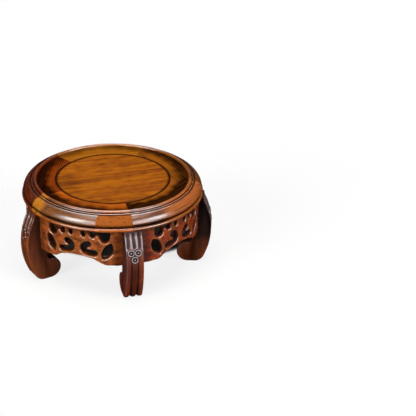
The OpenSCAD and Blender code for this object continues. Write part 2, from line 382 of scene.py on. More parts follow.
@dataclass(frozen=True)
class Smudge:
    """A dark spot in a board, such as a pin knot with its pulled grain."""

    x: float
    y: float
    length: float
    width: float
    strength: float


@dataclass(frozen=True)
class WoodFinish:
    """Planed or carved hardwood, rubbed with oil and wax over many years.

    The eye sees long streaks along the grain, fine open pores, dark dirt in the hollows, lighter edges
    where hands wore the stain away, and a soft waxed gloss. The dark dirt colour also carries painted
    shade where a piece marks it, and the lighter rubbed colour carries a painted sheen on the legs' flute
    ridges and ringlets. A span is the part of a noise's range over which its mark sets in.
    """

    name: str
    pale: str
    mid: str
    dark: str
    grime_and_shade: str
    rubbed_and_sheen: str
    streak: float = 3.4
    streak_length: float = 80.0
    streak_span: Pair = (0.36, 0.64)
    line: float = 1.5
    line_stretch: float = 2.2
    line_span: Pair = (0.53, 0.70)
    line_strength: float = 0.6
    blotch: float = 34.0
    blotch_stretch: float = 1.6
    blotch_span: Pair = (0.42, 0.66)
    blotch_strength: float = 0.35
    # Pores are about 0.15 mm wide in the real wood, and are drawn wider so that they show
    pore: float = 0.42
    pore_length: float = 7.0
    pore_span: Pair = (0.58, 0.72)
    pore_strength: float = 0.4
    pore_depth: float = 0.06
    pore_bump: float = 0.5
    # Scraper and gouge leave facets of about 9 mm that bend the reflections
    facet: float = 9.0
    facet_length: float = 14.0
    tool_height: float = 0.10
    broken_span: Pair = (0.35, 0.60)
    rubbed_and_sheen_least: float = 0.6
    grime_and_shade_least: float = 0.9
    smudge_span: Pair = (0.08, 0.45)
    rough_low: float = 0.22
    rough_high: float = 0.32
    rough_span: Pair = (0.30, 0.70)
    dull_rough: float = 0.3
    rubbed_and_sheen_rough: float = -0.08
    grime_and_shade_dull: float = 1.1
    dull_edges: Pair = (0.4, 0.2)
    wood_ior: float = 1.5
    shine: float = 0.5
    coat: float = 0.20
    coat_rough: float = 0.12
    wax_ior: float = 1.45
    patches: tuple[Patch, ...] = ()
    smudges: tuple[Smudge, ...] = ()
    grain: GrainSource = GrainSource.BOARD

    def material(self) -> bpy.types.Material:
        """Build the finish as a node material.

        Returns:
            The material.
        """
        made = bpy.data.materials.new(self.name)
        made.use_nodes = True
        tree = made.node_tree
        tree.nodes.clear()
        board, worn_and_sheen, patina_and_shade, dry = self.readings(tree)
        streaks, lines, blotches, pores, facets = self.noises(tree, board)
        pored = soft_mask(tree, [SoftStep(pores, self.pore_span, high=self.pore_strength)])
        rubbed_and_sheen = soft_mask(tree, [SoftStep(blotches, self.broken_span, self.rubbed_and_sheen_least)], worn_and_sheen)
        grime_and_shade_mask = soft_mask(tree, [SoftStep(streaks, self.broken_span, self.grime_and_shade_least)], patina_and_shade)
        patches, dull = self.patched(tree, board, streaks)
        layers = [
            (soft_mask(tree, [SoftStep(streaks, self.streak_span)]), self.mid),
            (soft_mask(tree, [SoftStep(blotches, self.blotch_span, high=self.blotch_strength)]), self.dark),
            *patches,
            *self.smudged(tree, board, streaks),
            # The rubbed colour is wear, and on the legs' flute ridges and ringlets also a painted sheen
            (rubbed_and_sheen, self.rubbed_and_sheen),
            (soft_mask(tree, [SoftStep(lines, self.line_span, high=self.line_strength)]), self.dark),
            (pored, self.dark),
            # The grime colour is dirt, and where a piece marks it also painted shade
            (grime_and_shade_mask, self.grime_and_shade),
        ]
        color: Any = srgb(self.pale)
        for mask, code in layers:
            inputs = {0: mask, 6: color, 7: srgb(code)}
            color = add_node(tree, "ShaderNodeMix", inputs, data_type="RGBA", clamp_factor=True).outputs[2]

        roughness = soft_mask(tree, [SoftStep(streaks, self.rough_span, self.rough_low, self.rough_high)])
        for amount, change in ((dull, self.dull_rough), (rubbed_and_sheen, self.rubbed_and_sheen_rough)):
            inputs = {0: amount, 1: change, 2: roughness}
            roughness = add_node(tree, "ShaderNodeMath", inputs, operation="MULTIPLY_ADD").outputs[0]
        for amount, change in ((dry, 1.0), (grime_and_shade_mask, self.grime_and_shade_dull)):
            inputs = {0: amount, 1: change, 2: dull}
            dull = add_node(tree, "ShaderNodeMath", inputs, operation="MULTIPLY_ADD").outputs[0]

        normal: Any = (0.0, 0.0, 0.0)
        bumps = (
            (pored, self.pore_bump, self.pore_depth, True),
            (facets, 1.0, self.tool_height, False),
        )
        for height, strength, depth, sunk in bumps:
            inputs = {"Height": height, "Strength": strength, "Distance": depth * MM, "Normal": normal}
            normal = add_node(tree, "ShaderNodeBump", inputs, invert=sunk).outputs["Normal"]
        shader = add_node(
            tree,
            "ShaderNodeBsdfPrincipled",
            {
                "Base Color": color,
                "Roughness": roughness,
                "IOR": self.wood_ior,
                "Specular IOR Level": soft_mask(tree, [SoftStep(dull, (0.0, 1.0), self.shine, 0.0)]),
                "Coat Weight": soft_mask(tree, [SoftStep(dull, (0.0, 1.0), self.coat, 0.0)]),
                "Coat Roughness": self.coat_rough,
                "Coat IOR": self.wax_ior,
                "Normal": normal,
            },
        )
        add_node(tree, "ShaderNodeOutputMaterial", {"Surface": shader.outputs["BSDF"]})
        return made

    def readings(self, tree: Tree) -> tuple[Any, Any, Any, Any]:
        """Read what a piece carries for its finish.

        Args:
            tree: The material's tree.

        Returns:
            Board coordinates in millimetres, x along the grain, and the wear with its painted sheen, the dirt
            with its painted shade, and the dryness there.
        """
        if self.grain is GrainSource.OBJECT:
            place = add_node(tree, "ShaderNodeTexCoord").outputs["Object"]
            scaled = add_node(tree, "ShaderNodeMapping", {"Vector": place, "Scale": (1 / MM,) * 3})
            return scaled.outputs["Vector"], 0.0, 0.0, 0.0
        names = (GrainSource.BOARD.value, "worn_and_sheen", "patina_and_shade", "dry")
        board, *rest = (add_node(tree, "ShaderNodeAttribute", attribute_name=name) for name in names)
        return board.outputs["Vector"], *(node.outputs["Fac"] for node in rest)

    def noises(self, tree: Tree, board: Socket) -> list[Socket]:
        """Add the noises that the board is drawn with, each stretched to cells of its own size.

        Args:
            tree: The material's tree.
            board: The board coordinates.

        Returns:
            The streaks, lines, blotches, pores and tool facets.
        """
        # Each noise has its cell's length and width in millimetres, its finer octaves and how far it winds
        kinds = (
            (self.streak_length, self.streak, 4.0, 0.5),
            (self.line_stretch * self.streak_length, self.line, 2.0, 0.25),
            (self.blotch_stretch * self.blotch, self.blotch, 2.0, 0.3),
            (self.pore_length, self.pore, 1.0, 0.0),
            (self.facet_length, self.facet, 1.0, 0.0),
        )
        heights = []
        for length, width, octaves, winding in kinds:
            scale = (1 / length, 1 / width, 1 / width)
            place = add_node(tree, "ShaderNodeMapping", {"Vector": board, "Scale": scale}).outputs["Vector"]
            inputs = {"Vector": place, "Scale": 1.0, "Detail": octaves, "Distortion": winding}
            heights.append(add_node(tree, "ShaderNodeTexNoise", inputs).outputs[0])
        return heights

    def patched(self, tree: Tree, board: Socket, streaks: Socket) -> tuple[list[tuple[Any, str]], Any]:
        """Mark out the board's patches.

        Args:
            tree: The material's tree.
            board: The board coordinates.
            streaks: The streaks, which make a patch's ends run out along the grain.

        Returns:
            Each patch's mask and colour, and where the wax is dull.
        """
        along, _, height = add_node(tree, "ShaderNodeSeparateXYZ", {0: board}).outputs
        layers: list[tuple[Any, str]] = []
        dull: Any = 0.0
        for patch in self.patches:
            inputs = {0: streaks, 1: patch.sway, 2: along}
            ragged = add_node(tree, "ShaderNodeMath", inputs, operation="MULTIPLY_ADD").outputs[0]
            start, end = patch.start + patch.sway / 2, patch.end + patch.sway / 2
            opened = SoftStep(ragged, (start, start + patch.feather), high=patch.strength)
            closed = SoftStep(ragged, (end - patch.feather, end), 1.0, 0.0)
            mask = soft_mask(tree, [opened, closed])
            layers.append((mask, patch.color))
            if patch.dull is not None:
                (low, high), (low_edge, high_edge) = patch.dull, self.dull_edges
                above = SoftStep(height, (low, low + low_edge))
                below = SoftStep(height, (high - high_edge, high), 1.0, 0.0)
                dull = soft_mask(tree, [above, below], mask)
        return layers, dull

    def smudged(self, tree: Tree, board: Socket, streaks: Socket) -> list[tuple[Any, str]]:
        """Mark out the board's smudges.

        Args:
            tree: The material's tree.
            board: The board coordinates.
            streaks: The streaks, which break the smudges up.

        Returns:
            Each smudge's mask and colour.
        """
        layers = []
        for smudge in self.smudges:
            scale = (1 / smudge.length, 1 / smudge.width, 0.0)
            middle = (-smudge.x / smudge.length, -smudge.y / smudge.width, 0.0)
            place = add_node(tree, "ShaderNodeMapping", {"Vector": board, "Location": middle, "Scale": scale})
            inputs = {0: place.outputs["Vector"]}
            spot = add_node(tree, "ShaderNodeTexGradient", inputs, gradient_type="SPHERICAL").outputs["Fac"]
            broken = add_node(tree, "ShaderNodeMath", {0: spot, 1: streaks}, operation="MULTIPLY").outputs[0]
            step = SoftStep(broken, self.smudge_span, high=smudge.strength)
            layers.append((soft_mask(tree, [step]), self.dark))
        return layers


@dataclass
class Shell:
    """A closed mesh in millimetres, with what its finish reads at each point."""

    points: Array
    faces: list[Face]
    board: Array
    patina_and_shade: Array
    worn_and_sheen: Array
    dry: Array | None = None

    def joined(self, other: "Shell") -> "Shell":
        """Return this shell and another as one, without a dryness.

        Args:
            other: The other shell.

        Returns:
            The joined shell.
        """
        base = len(self.points)
        return Shell(
            np.vstack([self.points, other.points]),
            self.faces + [tuple(index + base for index in face) for face in other.faces],
            np.vstack([self.board, other.board]),
            np.r_[self.patina_and_shade, other.patina_and_shade],
            np.r_[self.worn_and_sheen, other.worn_and_sheen],
        )

    def turned(self, angle: float) -> "Shell":
        """Return this shell turned about the stand's axis.

        Args:
            angle: The turn in radians.

        Returns:
            The turned shell.
        """
        cos, sin = math.cos(angle), math.sin(angle)
        turn = np.array(((cos, sin, 0.0), (-sin, cos, 0.0), (0.0, 0.0, 1.0)))
        return replace(self, points=self.points @ turn)

    def piece(self, name: str, material: bpy.types.Material, sharp: float | None = None) -> bpy.types.Object:
        """Make the shell an object.

        Args:
            name: The object's name.
            material: Its finish.
            sharp: The angle in degrees above which an edge stays crisp, or None for a smooth mesh.

        Returns:
            The object, in the scene.
        """
        mesh = bpy.data.meshes.new(name)
        mesh.from_pydata((self.points * MM).tolist(), [], self.faces)
        work = bmesh.new()
        work.from_mesh(mesh)
        bmesh.ops.recalc_face_normals(work, faces=work.faces)
        work.to_mesh(mesh)
        work.free()
        self.carry(mesh)
        mesh.shade_smooth()
        if sharp is not None:
            mesh.set_sharp_from_angle(angle=math.radians(sharp))
        mesh.materials.append(material)
        made = bpy.data.objects.new(name, mesh)
        bpy.context.scene.collection.objects.link(made)
        return made

    def carry(self, mesh: bpy.types.Mesh) -> None:
        """Write the values that the finish reads into a mesh's attributes.

        Args:
            mesh: The shell's mesh.
        """
        board = mesh.attributes.new(GrainSource.BOARD.value, "FLOAT_VECTOR", "POINT")
        board.data.foreach_set("vector", self.board.astype(np.float32).ravel())
        for name, values in (("patina_and_shade", self.patina_and_shade), ("worn_and_sheen", self.worn_and_sheen), ("dry", self.dry)):
            if values is not None:
                layer = mesh.attributes.new(name, "FLOAT", "POINT")
                layer.data.foreach_set("value", np.clip(values, 0.0, 1.0).astype(np.float32))


def grown(base: bpy.types.Mesh, tree: Tree, values: dict[str, Any]) -> tuple[Array, list[Face]]:
    """Run a Geometry Nodes tree on a mesh and take the plain result.

    Args:
        base: The mesh that the tree starts from.
        tree: The tree.
        values: The tree's named inputs.

    Returns:
        The result's points in millimetres and its faces.
    """
    carrier = bpy.data.objects.new(base.name, base)
    bpy.context.scene.collection.objects.link(carrier)
    modifier = carrier.modifiers.new(tree.name, "NODES")
    modifier.node_group = tree
    for item in tree.interface.items_tree:
        if item.in_out == "INPUT" and item.name in values:
            modifier[item.identifier] = values[item.name]
    evaluated = carrier.evaluated_get(bpy.context.evaluated_depsgraph_get())
    result = bpy.data.meshes.new_from_object(evaluated)
    carrier.modifiers.remove(modifier)
    bpy.data.objects.remove(carrier)
    flat = np.empty(3 * len(result.vertices), dtype=np.float32)
    result.vertices.foreach_get("co", flat)
    faces = [tuple(polygon.vertices) for polygon in result.polygons]
    bpy.data.meshes.remove(result)
    return flat.reshape(-1, 3).astype(float) / MM, faces


def new_tree(name: str, inputs: Sequence[tuple[str, str, Any]]) -> Tree:
    """Start a Geometry Nodes tree.

    Args:
        name: The tree's name.
        inputs: Each named input's name, socket type and default, or None for no default.

    Returns:
        The tree, with its inputs and its geometry output declared.
    """
    tree = bpy.data.node_groups.new(name, "GeometryNodeTree")
    tree.interface.new_socket("Geometry", in_out="INPUT", socket_type="NodeSocketGeometry")
    for label, kind, default in inputs:
        socket = tree.interface.new_socket(label, in_out="INPUT", socket_type=kind)
        if default is not None:
            socket.default_value = default
    tree.interface.new_socket("Geometry", in_out="OUTPUT", socket_type="NodeSocketGeometry")
    return tree


def close_tree(tree: Tree, geometry: Socket, material: Socket) -> None:
    """End a Geometry Nodes tree in real geometry with a material.

    Args:
        tree: The tree.
        geometry: What it has made.
        material: The material's input.
    """
    real = add_node(tree, "GeometryNodeRealizeInstances", {"Geometry": geometry})
    dressed = add_node(
        tree, "GeometryNodeSetMaterial", {"Geometry": real.outputs["Geometry"], "Material": material}
    )
    add_node(tree, "NodeGroupOutput", {"Geometry": dressed.outputs["Geometry"]})


def enter(piece: bpy.types.Object, node: str) -> None:
    """Put a finished piece in the frame in place of a CAD node.

    Args:
        piece: The piece.
        node: The CAD node that it stands for.
    """
    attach(piece, "root")
    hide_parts(node)
    LOG.info("%s: %d faces, for %s", piece.name, len(piece.data.polygons), node)


@dataclass(frozen=True)
class FieldDirtAndShade:
    """The dirt and painted shade on a segment's field: its strength and the radius where it starts, at both
    ends.
    """

    strength: Pair
    start: Pair


@dataclass(frozen=True)
class RingWear:
    """Where dirt has settled on the ring's section, where shade is painted on it and where hands have worn
    it.

    A pair is a stretch over which a mark sets in, outwards or upwards, and a reach is how far it fades.
    """

    corner_dirt: float = 0.8
    corner_reach: float = 0.8
    step_near: Pair = (-0.2, 0.1)
    step_far: Pair = (2.4, 0.8)
    step_up: float = 8.0
    foot_clear: float = 0.5
    foot_reach: float = 0.35
    quirk_clear: float = 0.8
    quirk_reach: float = 0.5
    ovolo_low_shade: float = 0.8
    ovolo_low_shade_up: Pair = (3.2, 1.6)
    under_shade: float = 0.7
    under_skin: float = 0.1
    inner_shade: float = 0.9
    inner_width: float = 5.0
    inner_drop: float = 1.5
    lip_shade: float = 0.9
    lip_out: Pair = (0.8, 0.3)
    band: Pair = (-6.0, 7.0)
    band_sway: float = 1.5
    soil_and_shade_sway: float = 0.15
    soil_and_shade_most: float = 0.97
    field_skin: float = 0.9
    field_dry: float = 0.9
    field_worn: float = 0.95
    rim_worn: float = 0.7
    rim_worn_z: Pair = (97.2, 98.4)
    rim_worn_out: float = 0.8
    bead_worn: float = 0.7
    bead_worn_r: Pair = (98.6, 99.8)
    ledge_worn: float = 0.4
    ledge_worn_in: float = 0.4
    ledge_worn_reach: float = 0.6


@dataclass
class RingFrame:
    """The ring of five segments, with a rim, a ledge, a round moulding and a bead."""

    open_r: float = 63.0
    groove_r: float = 67.1
    groove_low: float = 91.0
    groove_high: float = 94.2
    rim_r: float = 85.5
    rim_half: float = 2.0
    rim_z: float = 97.99
    ledge_z: float = 97.5
    ledge_r: float = 89.6
    ledge_round: float = 1.9
    ovolo_z: float = 86.6
    ovolo_r: float = 9.2
    ovolo_h: float = 10.3
    quirk_r: float = 97.0
    quirk_low: float = 85.3
    quirk_high: float = 86.1
    bead_r: float = 2.1
    bead_mid: Pair = (97.88, 83.1)
    bead_end: float = 105.0
    ovolo_start: float = 7.0
    ovolo_foot: float = 0.2
    ledge_inset: float = 1.09
    ledge_turn: Pair = (55.0, 116.0)
    scratch: Pair = (0.12, 0.6)
    outline_step: float = 1.2
    steps: int = 240
    seam_gap: float = 0.01
    sharp: float = 50.0
    board_pitch: float = 300.0
    seed: int = 20
    marks: RingWear = RingWear()

    def outline(self) -> Array:
        """Draw the section of the ring, radius and height, with eased edges.

        Returns:
            The section's points.
        """
        rim_in, rim_out = self.rim_r - self.rim_half, self.rim_r + self.rim_half
        ledge_mid = (self.ledge_r - self.ledge_inset, self.ledge_z - self.ledge_round)
        ovolo = arc((0.0, 0.0), self.ovolo_h, self.ovolo_start, 90.0, step=0.5)
        ovolo = ovolo * (self.ovolo_r / self.ovolo_h, 1.0) + (self.ledge_r, self.ovolo_z)
        rounds = (
            arc(self.bead_mid, self.bead_r, -90.0, self.bead_end, step=0.3),
            ovolo,
            arc(ledge_mid, self.ledge_round, *self.ledge_turn, step=0.2),
            arc((self.rim_r, self.rim_z), self.rim_half, 0.0, 180.0, step=0.35),
        )
        bead, ovolo, ledge, rim = (np.c_[line, np.zeros(len(line))] for line in rounds)
        # A corner's third value is how far its rounding reaches
        corners = [
            (self.open_r, UNDER_Z, 0.6),
            *bead,
            (self.quirk_r, self.quirk_low, 0.25),
            (self.quirk_r, self.quirk_high, 0.3),
            (self.ledge_r + self.ovolo_r - self.ovolo_foot, self.quirk_high, 0.8),
            *ovolo[:-1],
            (*ovolo[-1, :2], 0.1),
            *ledge,
            # A scratched line sets the rim off from its ledge
            (rim_out + self.scratch[0], self.ledge_z - self.scratch[1], 0.1),
            *rim,
            (rim_in, FIELD_Z, 0.8),
            (self.open_r, FIELD_Z, 0.5),
            (self.open_r, self.groove_high, 0.2),
            (self.groove_r, self.groove_high, 0.0),
            (self.groove_r, self.groove_low, 0.0),
            (self.open_r, self.groove_low, 0.2),
        ]
        return split_long(eased(corners), self.outline_step)

    def sweep_tree(self) -> Tree:
        """Build the tree that sweeps the section along its part of the ring.

        Returns:
            The tree.
        """
        tree = new_tree(
            "ring_sweep",
            (
                ("Path Radius", "NodeSocketFloat", self.open_r * MM),
                ("Sweep", "NodeSocketFloat", BAY_ANGLE),
                ("Steps", "NodeSocketInt", self.steps),
                ("Material", "NodeSocketMaterial", None),
            ),
        )
        given = add_node(tree, "NodeGroupInput")
        path = add_node(
            tree,
            "GeometryNodeCurveArc",
            {
                "Resolution": given.outputs["Steps"],
                "Radius": given.outputs["Path Radius"],
                "Start Angle": 0.0,
                "Sweep Angle": given.outputs["Sweep"],
            },
        )
        level = add_node(tree, "GeometryNodeSetCurveNormal", {"Curve": path.outputs["Curve"]}, mode="Z_UP")
        section = add_node(tree, "GeometryNodeMeshToCurve", {"Mesh": given.outputs["Geometry"]})
        swept = add_node(
            tree,
            "GeometryNodeCurveToMesh",
            {"Curve": level.outputs["Curve"], "Profile Curve": section.outputs["Curve"], "Fill Caps": True},
        )
        close_tree(tree, swept.outputs["Mesh"], given.outputs["Material"])
        return tree

    def on_field(self, outline: Array) -> Array:
        """Tell which points of the section lie on the sunk field."""
        return (np.abs(outline[:, 1] - FIELD_Z) < self.marks.field_skin) & (outline[:, 0] < self.rim_r)

    def grime_and_shade(self, outline: Array) -> Array:
        """Work out how dark the dirt lies in the section's corners, and where shade is painted: on its hidden
        inner wall and underside, at the foot of the round moulding and along the gap by the panel.

        Args:
            outline: The section's points.

        Returns:
            One value for each point.
        """
        marks, (r, z) = self.marks, outline.T
        past, up = r - self.ledge_r, z - self.quirk_high
        quirk_z = (self.quirk_low + self.quirk_high) / 2
        rim_in, rim_out = self.rim_r - self.rim_half, self.rim_r + self.rim_half
        corner = fading(np.hypot(r - rim_in, z - FIELD_Z), marks.corner_reach)
        step = smoothstep(*marks.step_near, past) * smoothstep(*marks.step_far, past)
        foot = fading(np.hypot(r - rim_out, z - self.ledge_z), marks.foot_reach, marks.foot_clear)
        quirk = fading(np.hypot(r - self.quirk_r, z - quirk_z), marks.quirk_reach, marks.quirk_clear)
        # Painted shade on the lowest part of the round moulding, where it turns down away from the light
        ovolo_low = smoothstep(*marks.ovolo_low_shade_up, up) * (z > quirk_z)
        # Painted shade on the hidden inner wall under the field
        inner = (r < self.open_r + marks.inner_width) & (z < FIELD_Z - marks.inner_drop)
        # Painted shadow of the gap between the field and the panel
        lip = smoothstep(*marks.lip_out, r - self.open_r) * self.on_field(outline)
        dirt_and_shade = marks.corner_dirt * corner + step * (z > self.ovolo_z + marks.step_up) + foot + quirk
        # Painted shade at the foot of the round moulding and on the ring's underside
        dirt_and_shade += marks.ovolo_low_shade * ovolo_low + marks.under_shade * (z < UNDER_Z + marks.under_skin)
        return np.clip(dirt_and_shade + marks.inner_shade * inner + marks.lip_shade * lip, 0.0, 1.0)

    def field_dirt_and_shade(self, outline: Array, turns: Array, soil_and_shade: FieldDirtAndShade, rng: np.random.Generator) -> Array:
        """Return the uneven dark band on the sunk field: dirt that wiping has left, and painted shade of the
        rim.

        Args:
            outline: The section's points.
            turns: The angles of the segment's sections.
            soil_and_shade: How dark the band is and where it starts.
            rng: The source of its unevenness.

        Returns:
            Values by section and point.
        """
        marks, r = self.marks, outline[None, :, 0]
        run = turns[:, None] * (self.open_r + self.rim_r) / 2
        start = np.linspace(*soil_and_shade.start, len(turns))[:, None]
        start = start + marks.band_sway * waver(run, rng, (83.0, 37.0, 15.0))
        amount = np.linspace(*soil_and_shade.strength, len(turns))[:, None]
        amount = amount + marks.soil_and_shade_sway * waver(run, rng, (97.0, 43.0))
        band = smoothstep(start + marks.band[0], start + marks.band[1], r)
        return np.clip(amount * band, 0.0, marks.soil_and_shade_most) * self.on_field(outline)[None, :]

    def rub(self, outline: Array) -> Array:
        """Work out how much handling has worn the section.

        Args:
            outline: The section's points.

        Returns:
            One value for each point.
        """
        marks, (r, z) = self.marks, outline.T
        rim = smoothstep(*marks.rim_worn_z, z) * (r < self.rim_r + marks.rim_worn_out)
        bead = smoothstep(*marks.bead_worn_r, r) * (z < self.quirk_low)
        from_ledge = np.hypot(r - self.ledge_r + marks.ledge_worn_in, z - self.ledge_z)
        worn_and_sheen = marks.rim_worn * rim + marks.bead_worn * bead + marks.field_worn * self.on_field(outline)
        return np.clip(worn_and_sheen + marks.ledge_worn * fading(from_ledge, marks.ledge_worn_reach), 0.0, 1.0)

    def build(self, finishes: Sequence[WoodFinish], soils_and_shade: Sequence[FieldDirtAndShade]) -> None:
        """Make the five segments.

        Args:
            finishes: The segments' finishes in order.
            soils_and_shade: The dirt and painted shade on each segment's field.
        """
        outline = self.outline()
        base = bpy.data.meshes.new("ring_section")
        drawn = np.c_[outline[:, 0] - self.open_r, -outline[:, 1], np.zeros(len(outline))]
        count = len(outline)
        base.from_pydata((drawn * MM).tolist(), [(k, (k + 1) % count) for k in range(count)], [])
        tree = self.sweep_tree()
        gap = math.radians(self.seam_gap)
        grime_and_shade, rub = self.grime_and_shade(outline), self.rub(outline)
        for number, (finish, soil_and_shade) in enumerate(zip(finishes, soils_and_shade), start=1):
            material = finish.material()
            sizes = {"Sweep": BAY_ANGLE - 2 * gap, "Steps": self.steps, "Material": material}
            points, faces = grown(base, tree, sizes)
            rings = len(points) // count
            middle = BAY_ANGLE / 2 - gap
            along = points[:, 1] * math.cos(middle) - points[:, 0] * math.sin(middle)
            across = points[:, 0] * math.cos(middle) + points[:, 1] * math.sin(middle)
            board = np.c_[along, across + self.board_pitch * number, points[:, 2]]
            turns = np.linspace(0.0, BAY_ANGLE, rings)
            field = self.field_dirt_and_shade(outline, turns, soil_and_shade, np.random.default_rng(self.seed + number))
            patina_and_shade = np.maximum(field, grime_and_shade[None, :]).ravel()
            dry = np.tile(self.marks.field_dry * self.on_field(outline), rings)
            shell = Shell(points, faces, board, patina_and_shade, np.tile(rub, rings), dry)
            name = f"rim_segment_{number}"
            turned = shell.turned(leg_azimuth(number) + gap)
            enter(turned.piece(f"{name}_dressed", material, self.sharp), name)


@dataclass
class FloatingPanel:
    """The round panel, held by its tongue in the frame's groove."""

    radius: float = 62.0
    thickness: float = 8.0
    tongue_r: float = 67.0
    tongue_low: float = 91.1
    tongue_high: float = 94.1
    ring_step: float = 2.0
    spokes: int = 192
    grain_turn: float = 2.0
    dish: float = 0.12
    edge_shade: float = 0.85
    edge_shade_in: Pair = (1.1, 0.4)
    edge_worn: float = 0.25
    edge_worn_in: float = 0.6
    hidden_shade: float = 0.9
    hidden_drop: float = 0.6
    sharp: float = 50.0

    def section(self) -> Array:
        """Draw the half section from the top's middle round to the underside's middle.

        Returns:
            The section's points, without the two middles.
        """
        top, low = FIELD_Z, FIELD_Z - self.thickness
        corners = [(0.0, top, 0.0), (self.radius, top, 0.5), (self.radius, self.tongue_high, 0.0)]
        corners += [(self.tongue_r, self.tongue_high, 0.2), (self.tongue_r, self.tongue_low, 0.2)]
        corners += [(self.radius, self.tongue_low, 0.0), (self.radius, low, 0.4), (0.0, low, 0.0)]
        outline = split_long(eased(corners), self.ring_step)
        last = int(np.flatnonzero((outline[:, 0] < TINY) & (outline[:, 1] < self.tongue_low))[0])
        return outline[1:last]

    def build(self, finish: WoodFinish) -> None:
        """Make the panel.

        Args:
            finish: Its finish.
        """
        section = self.section()
        turn = np.linspace(0.0, math.tau, self.spokes, endpoint=False)
        radius, height = section.T
        settled = height - self.dish * (1.0 - (radius / self.radius) ** 2) * (height > FIELD_Z - 0.01)
        rings = [
            np.c_[r * np.cos(turn), r * np.sin(turn), np.full(self.spokes, z)]
            for r, z in zip(radius, settled)
        ]
        middles = [[(0.0, 0.0, FIELD_Z - self.dish)], [(0.0, 0.0, FIELD_Z - self.thickness)]]
        points = np.vstack(rings + middles)
        faces: list[Face] = []
        n, last = self.spokes, (len(section) - 1) * self.spokes
        for k in range(n):
            j = (k + 1) % n
            faces += [(i + k, i + j, i + n + j, i + n + k) for i in range(0, last, n)]
            faces += [(len(points) - 2, k, j), (len(points) - 1, last + j, last + k)]
        lean = math.radians(self.grain_turn)
        along = points[:, 0] * math.cos(lean) + points[:, 1] * math.sin(lean)
        across = points[:, 1] * math.cos(lean) - points[:, 0] * math.sin(lean)
        board = np.c_[along, across, points[:, 2]]
        inset = self.radius - np.hypot(points[:, 0], points[:, 1])
        hidden = points[:, 2] < FIELD_Z - self.hidden_drop
        # Painted shade on the hidden underside, and a painted shadow of the gap along the top's outer edge
        patina_and_shade = np.where(hidden, self.hidden_shade, self.edge_shade * smoothstep(*self.edge_shade_in, inset))
        worn_and_sheen = self.edge_worn * fading(np.abs(inset - self.edge_worn_in), self.edge_worn_in) * ~hidden
        shell = Shell(points, faces, board, patina_and_shade, worn_and_sheen)
        enter(shell.piece("panel_dressed", finish.material(), self.sharp), "panel")


@dataclass(frozen=True)
class LegWear:
    """Where dirt has settled on a leg, where shade and sheen are painted on it and where hands have worn it.

    A pair is a stretch over which a mark sets in, across the leg, up it or out from the stand's axis.
    """

    fluted: Pair = (-8.0, -2.0)
    ridge_blur: float = 4.0
    ridge_height: float = 0.34
    ridge_power: float = 1.5
    flutes_worn_and_sheen: float = 0.42
    corners_worn: float = 0.25
    cut_depth: float = 1.1
    cut_dirt: float = 0.9
    flutes_wiped: float = 0.1
    core_across: Pair = (6.2, 4.2)
    core_z: Pair = (50.0, 38.0)
    core_dirt: float = 0.55
    groove_across: Pair = (1.3, 0.5)
    groove_z: Pair = (52.0, 46.0)
    groove_dirt: float = 0.9
    ringlet_slope: float = 1.04
    ringlet_away: Pair = (5.2, 4.2)
    top_reach: float = 1.6
    top_shadow: float = 0.7
    sole_reach: float = 0.6
    sole_dirt: float = 0.5
    toe_r: Pair = (70.0, 80.0)
    toe_z: Pair = (9.0, 1.0)
    toe_dirt: float = 0.2
    inside_rows: int = 12
    inside_z: Pair = (20.0, 30.0)
    inside_shade: float = 0.7
    hidden_most: float = 0.9
    side_z: Pair = (16.0, 48.0)
    side_skin: float = 0.3
    side_shade: float = 0.93
    ringlet_worn_and_sheen: Pair = (0.1, 0.45)
    ringlet_dirt: Pair = (0.4, 0.0)


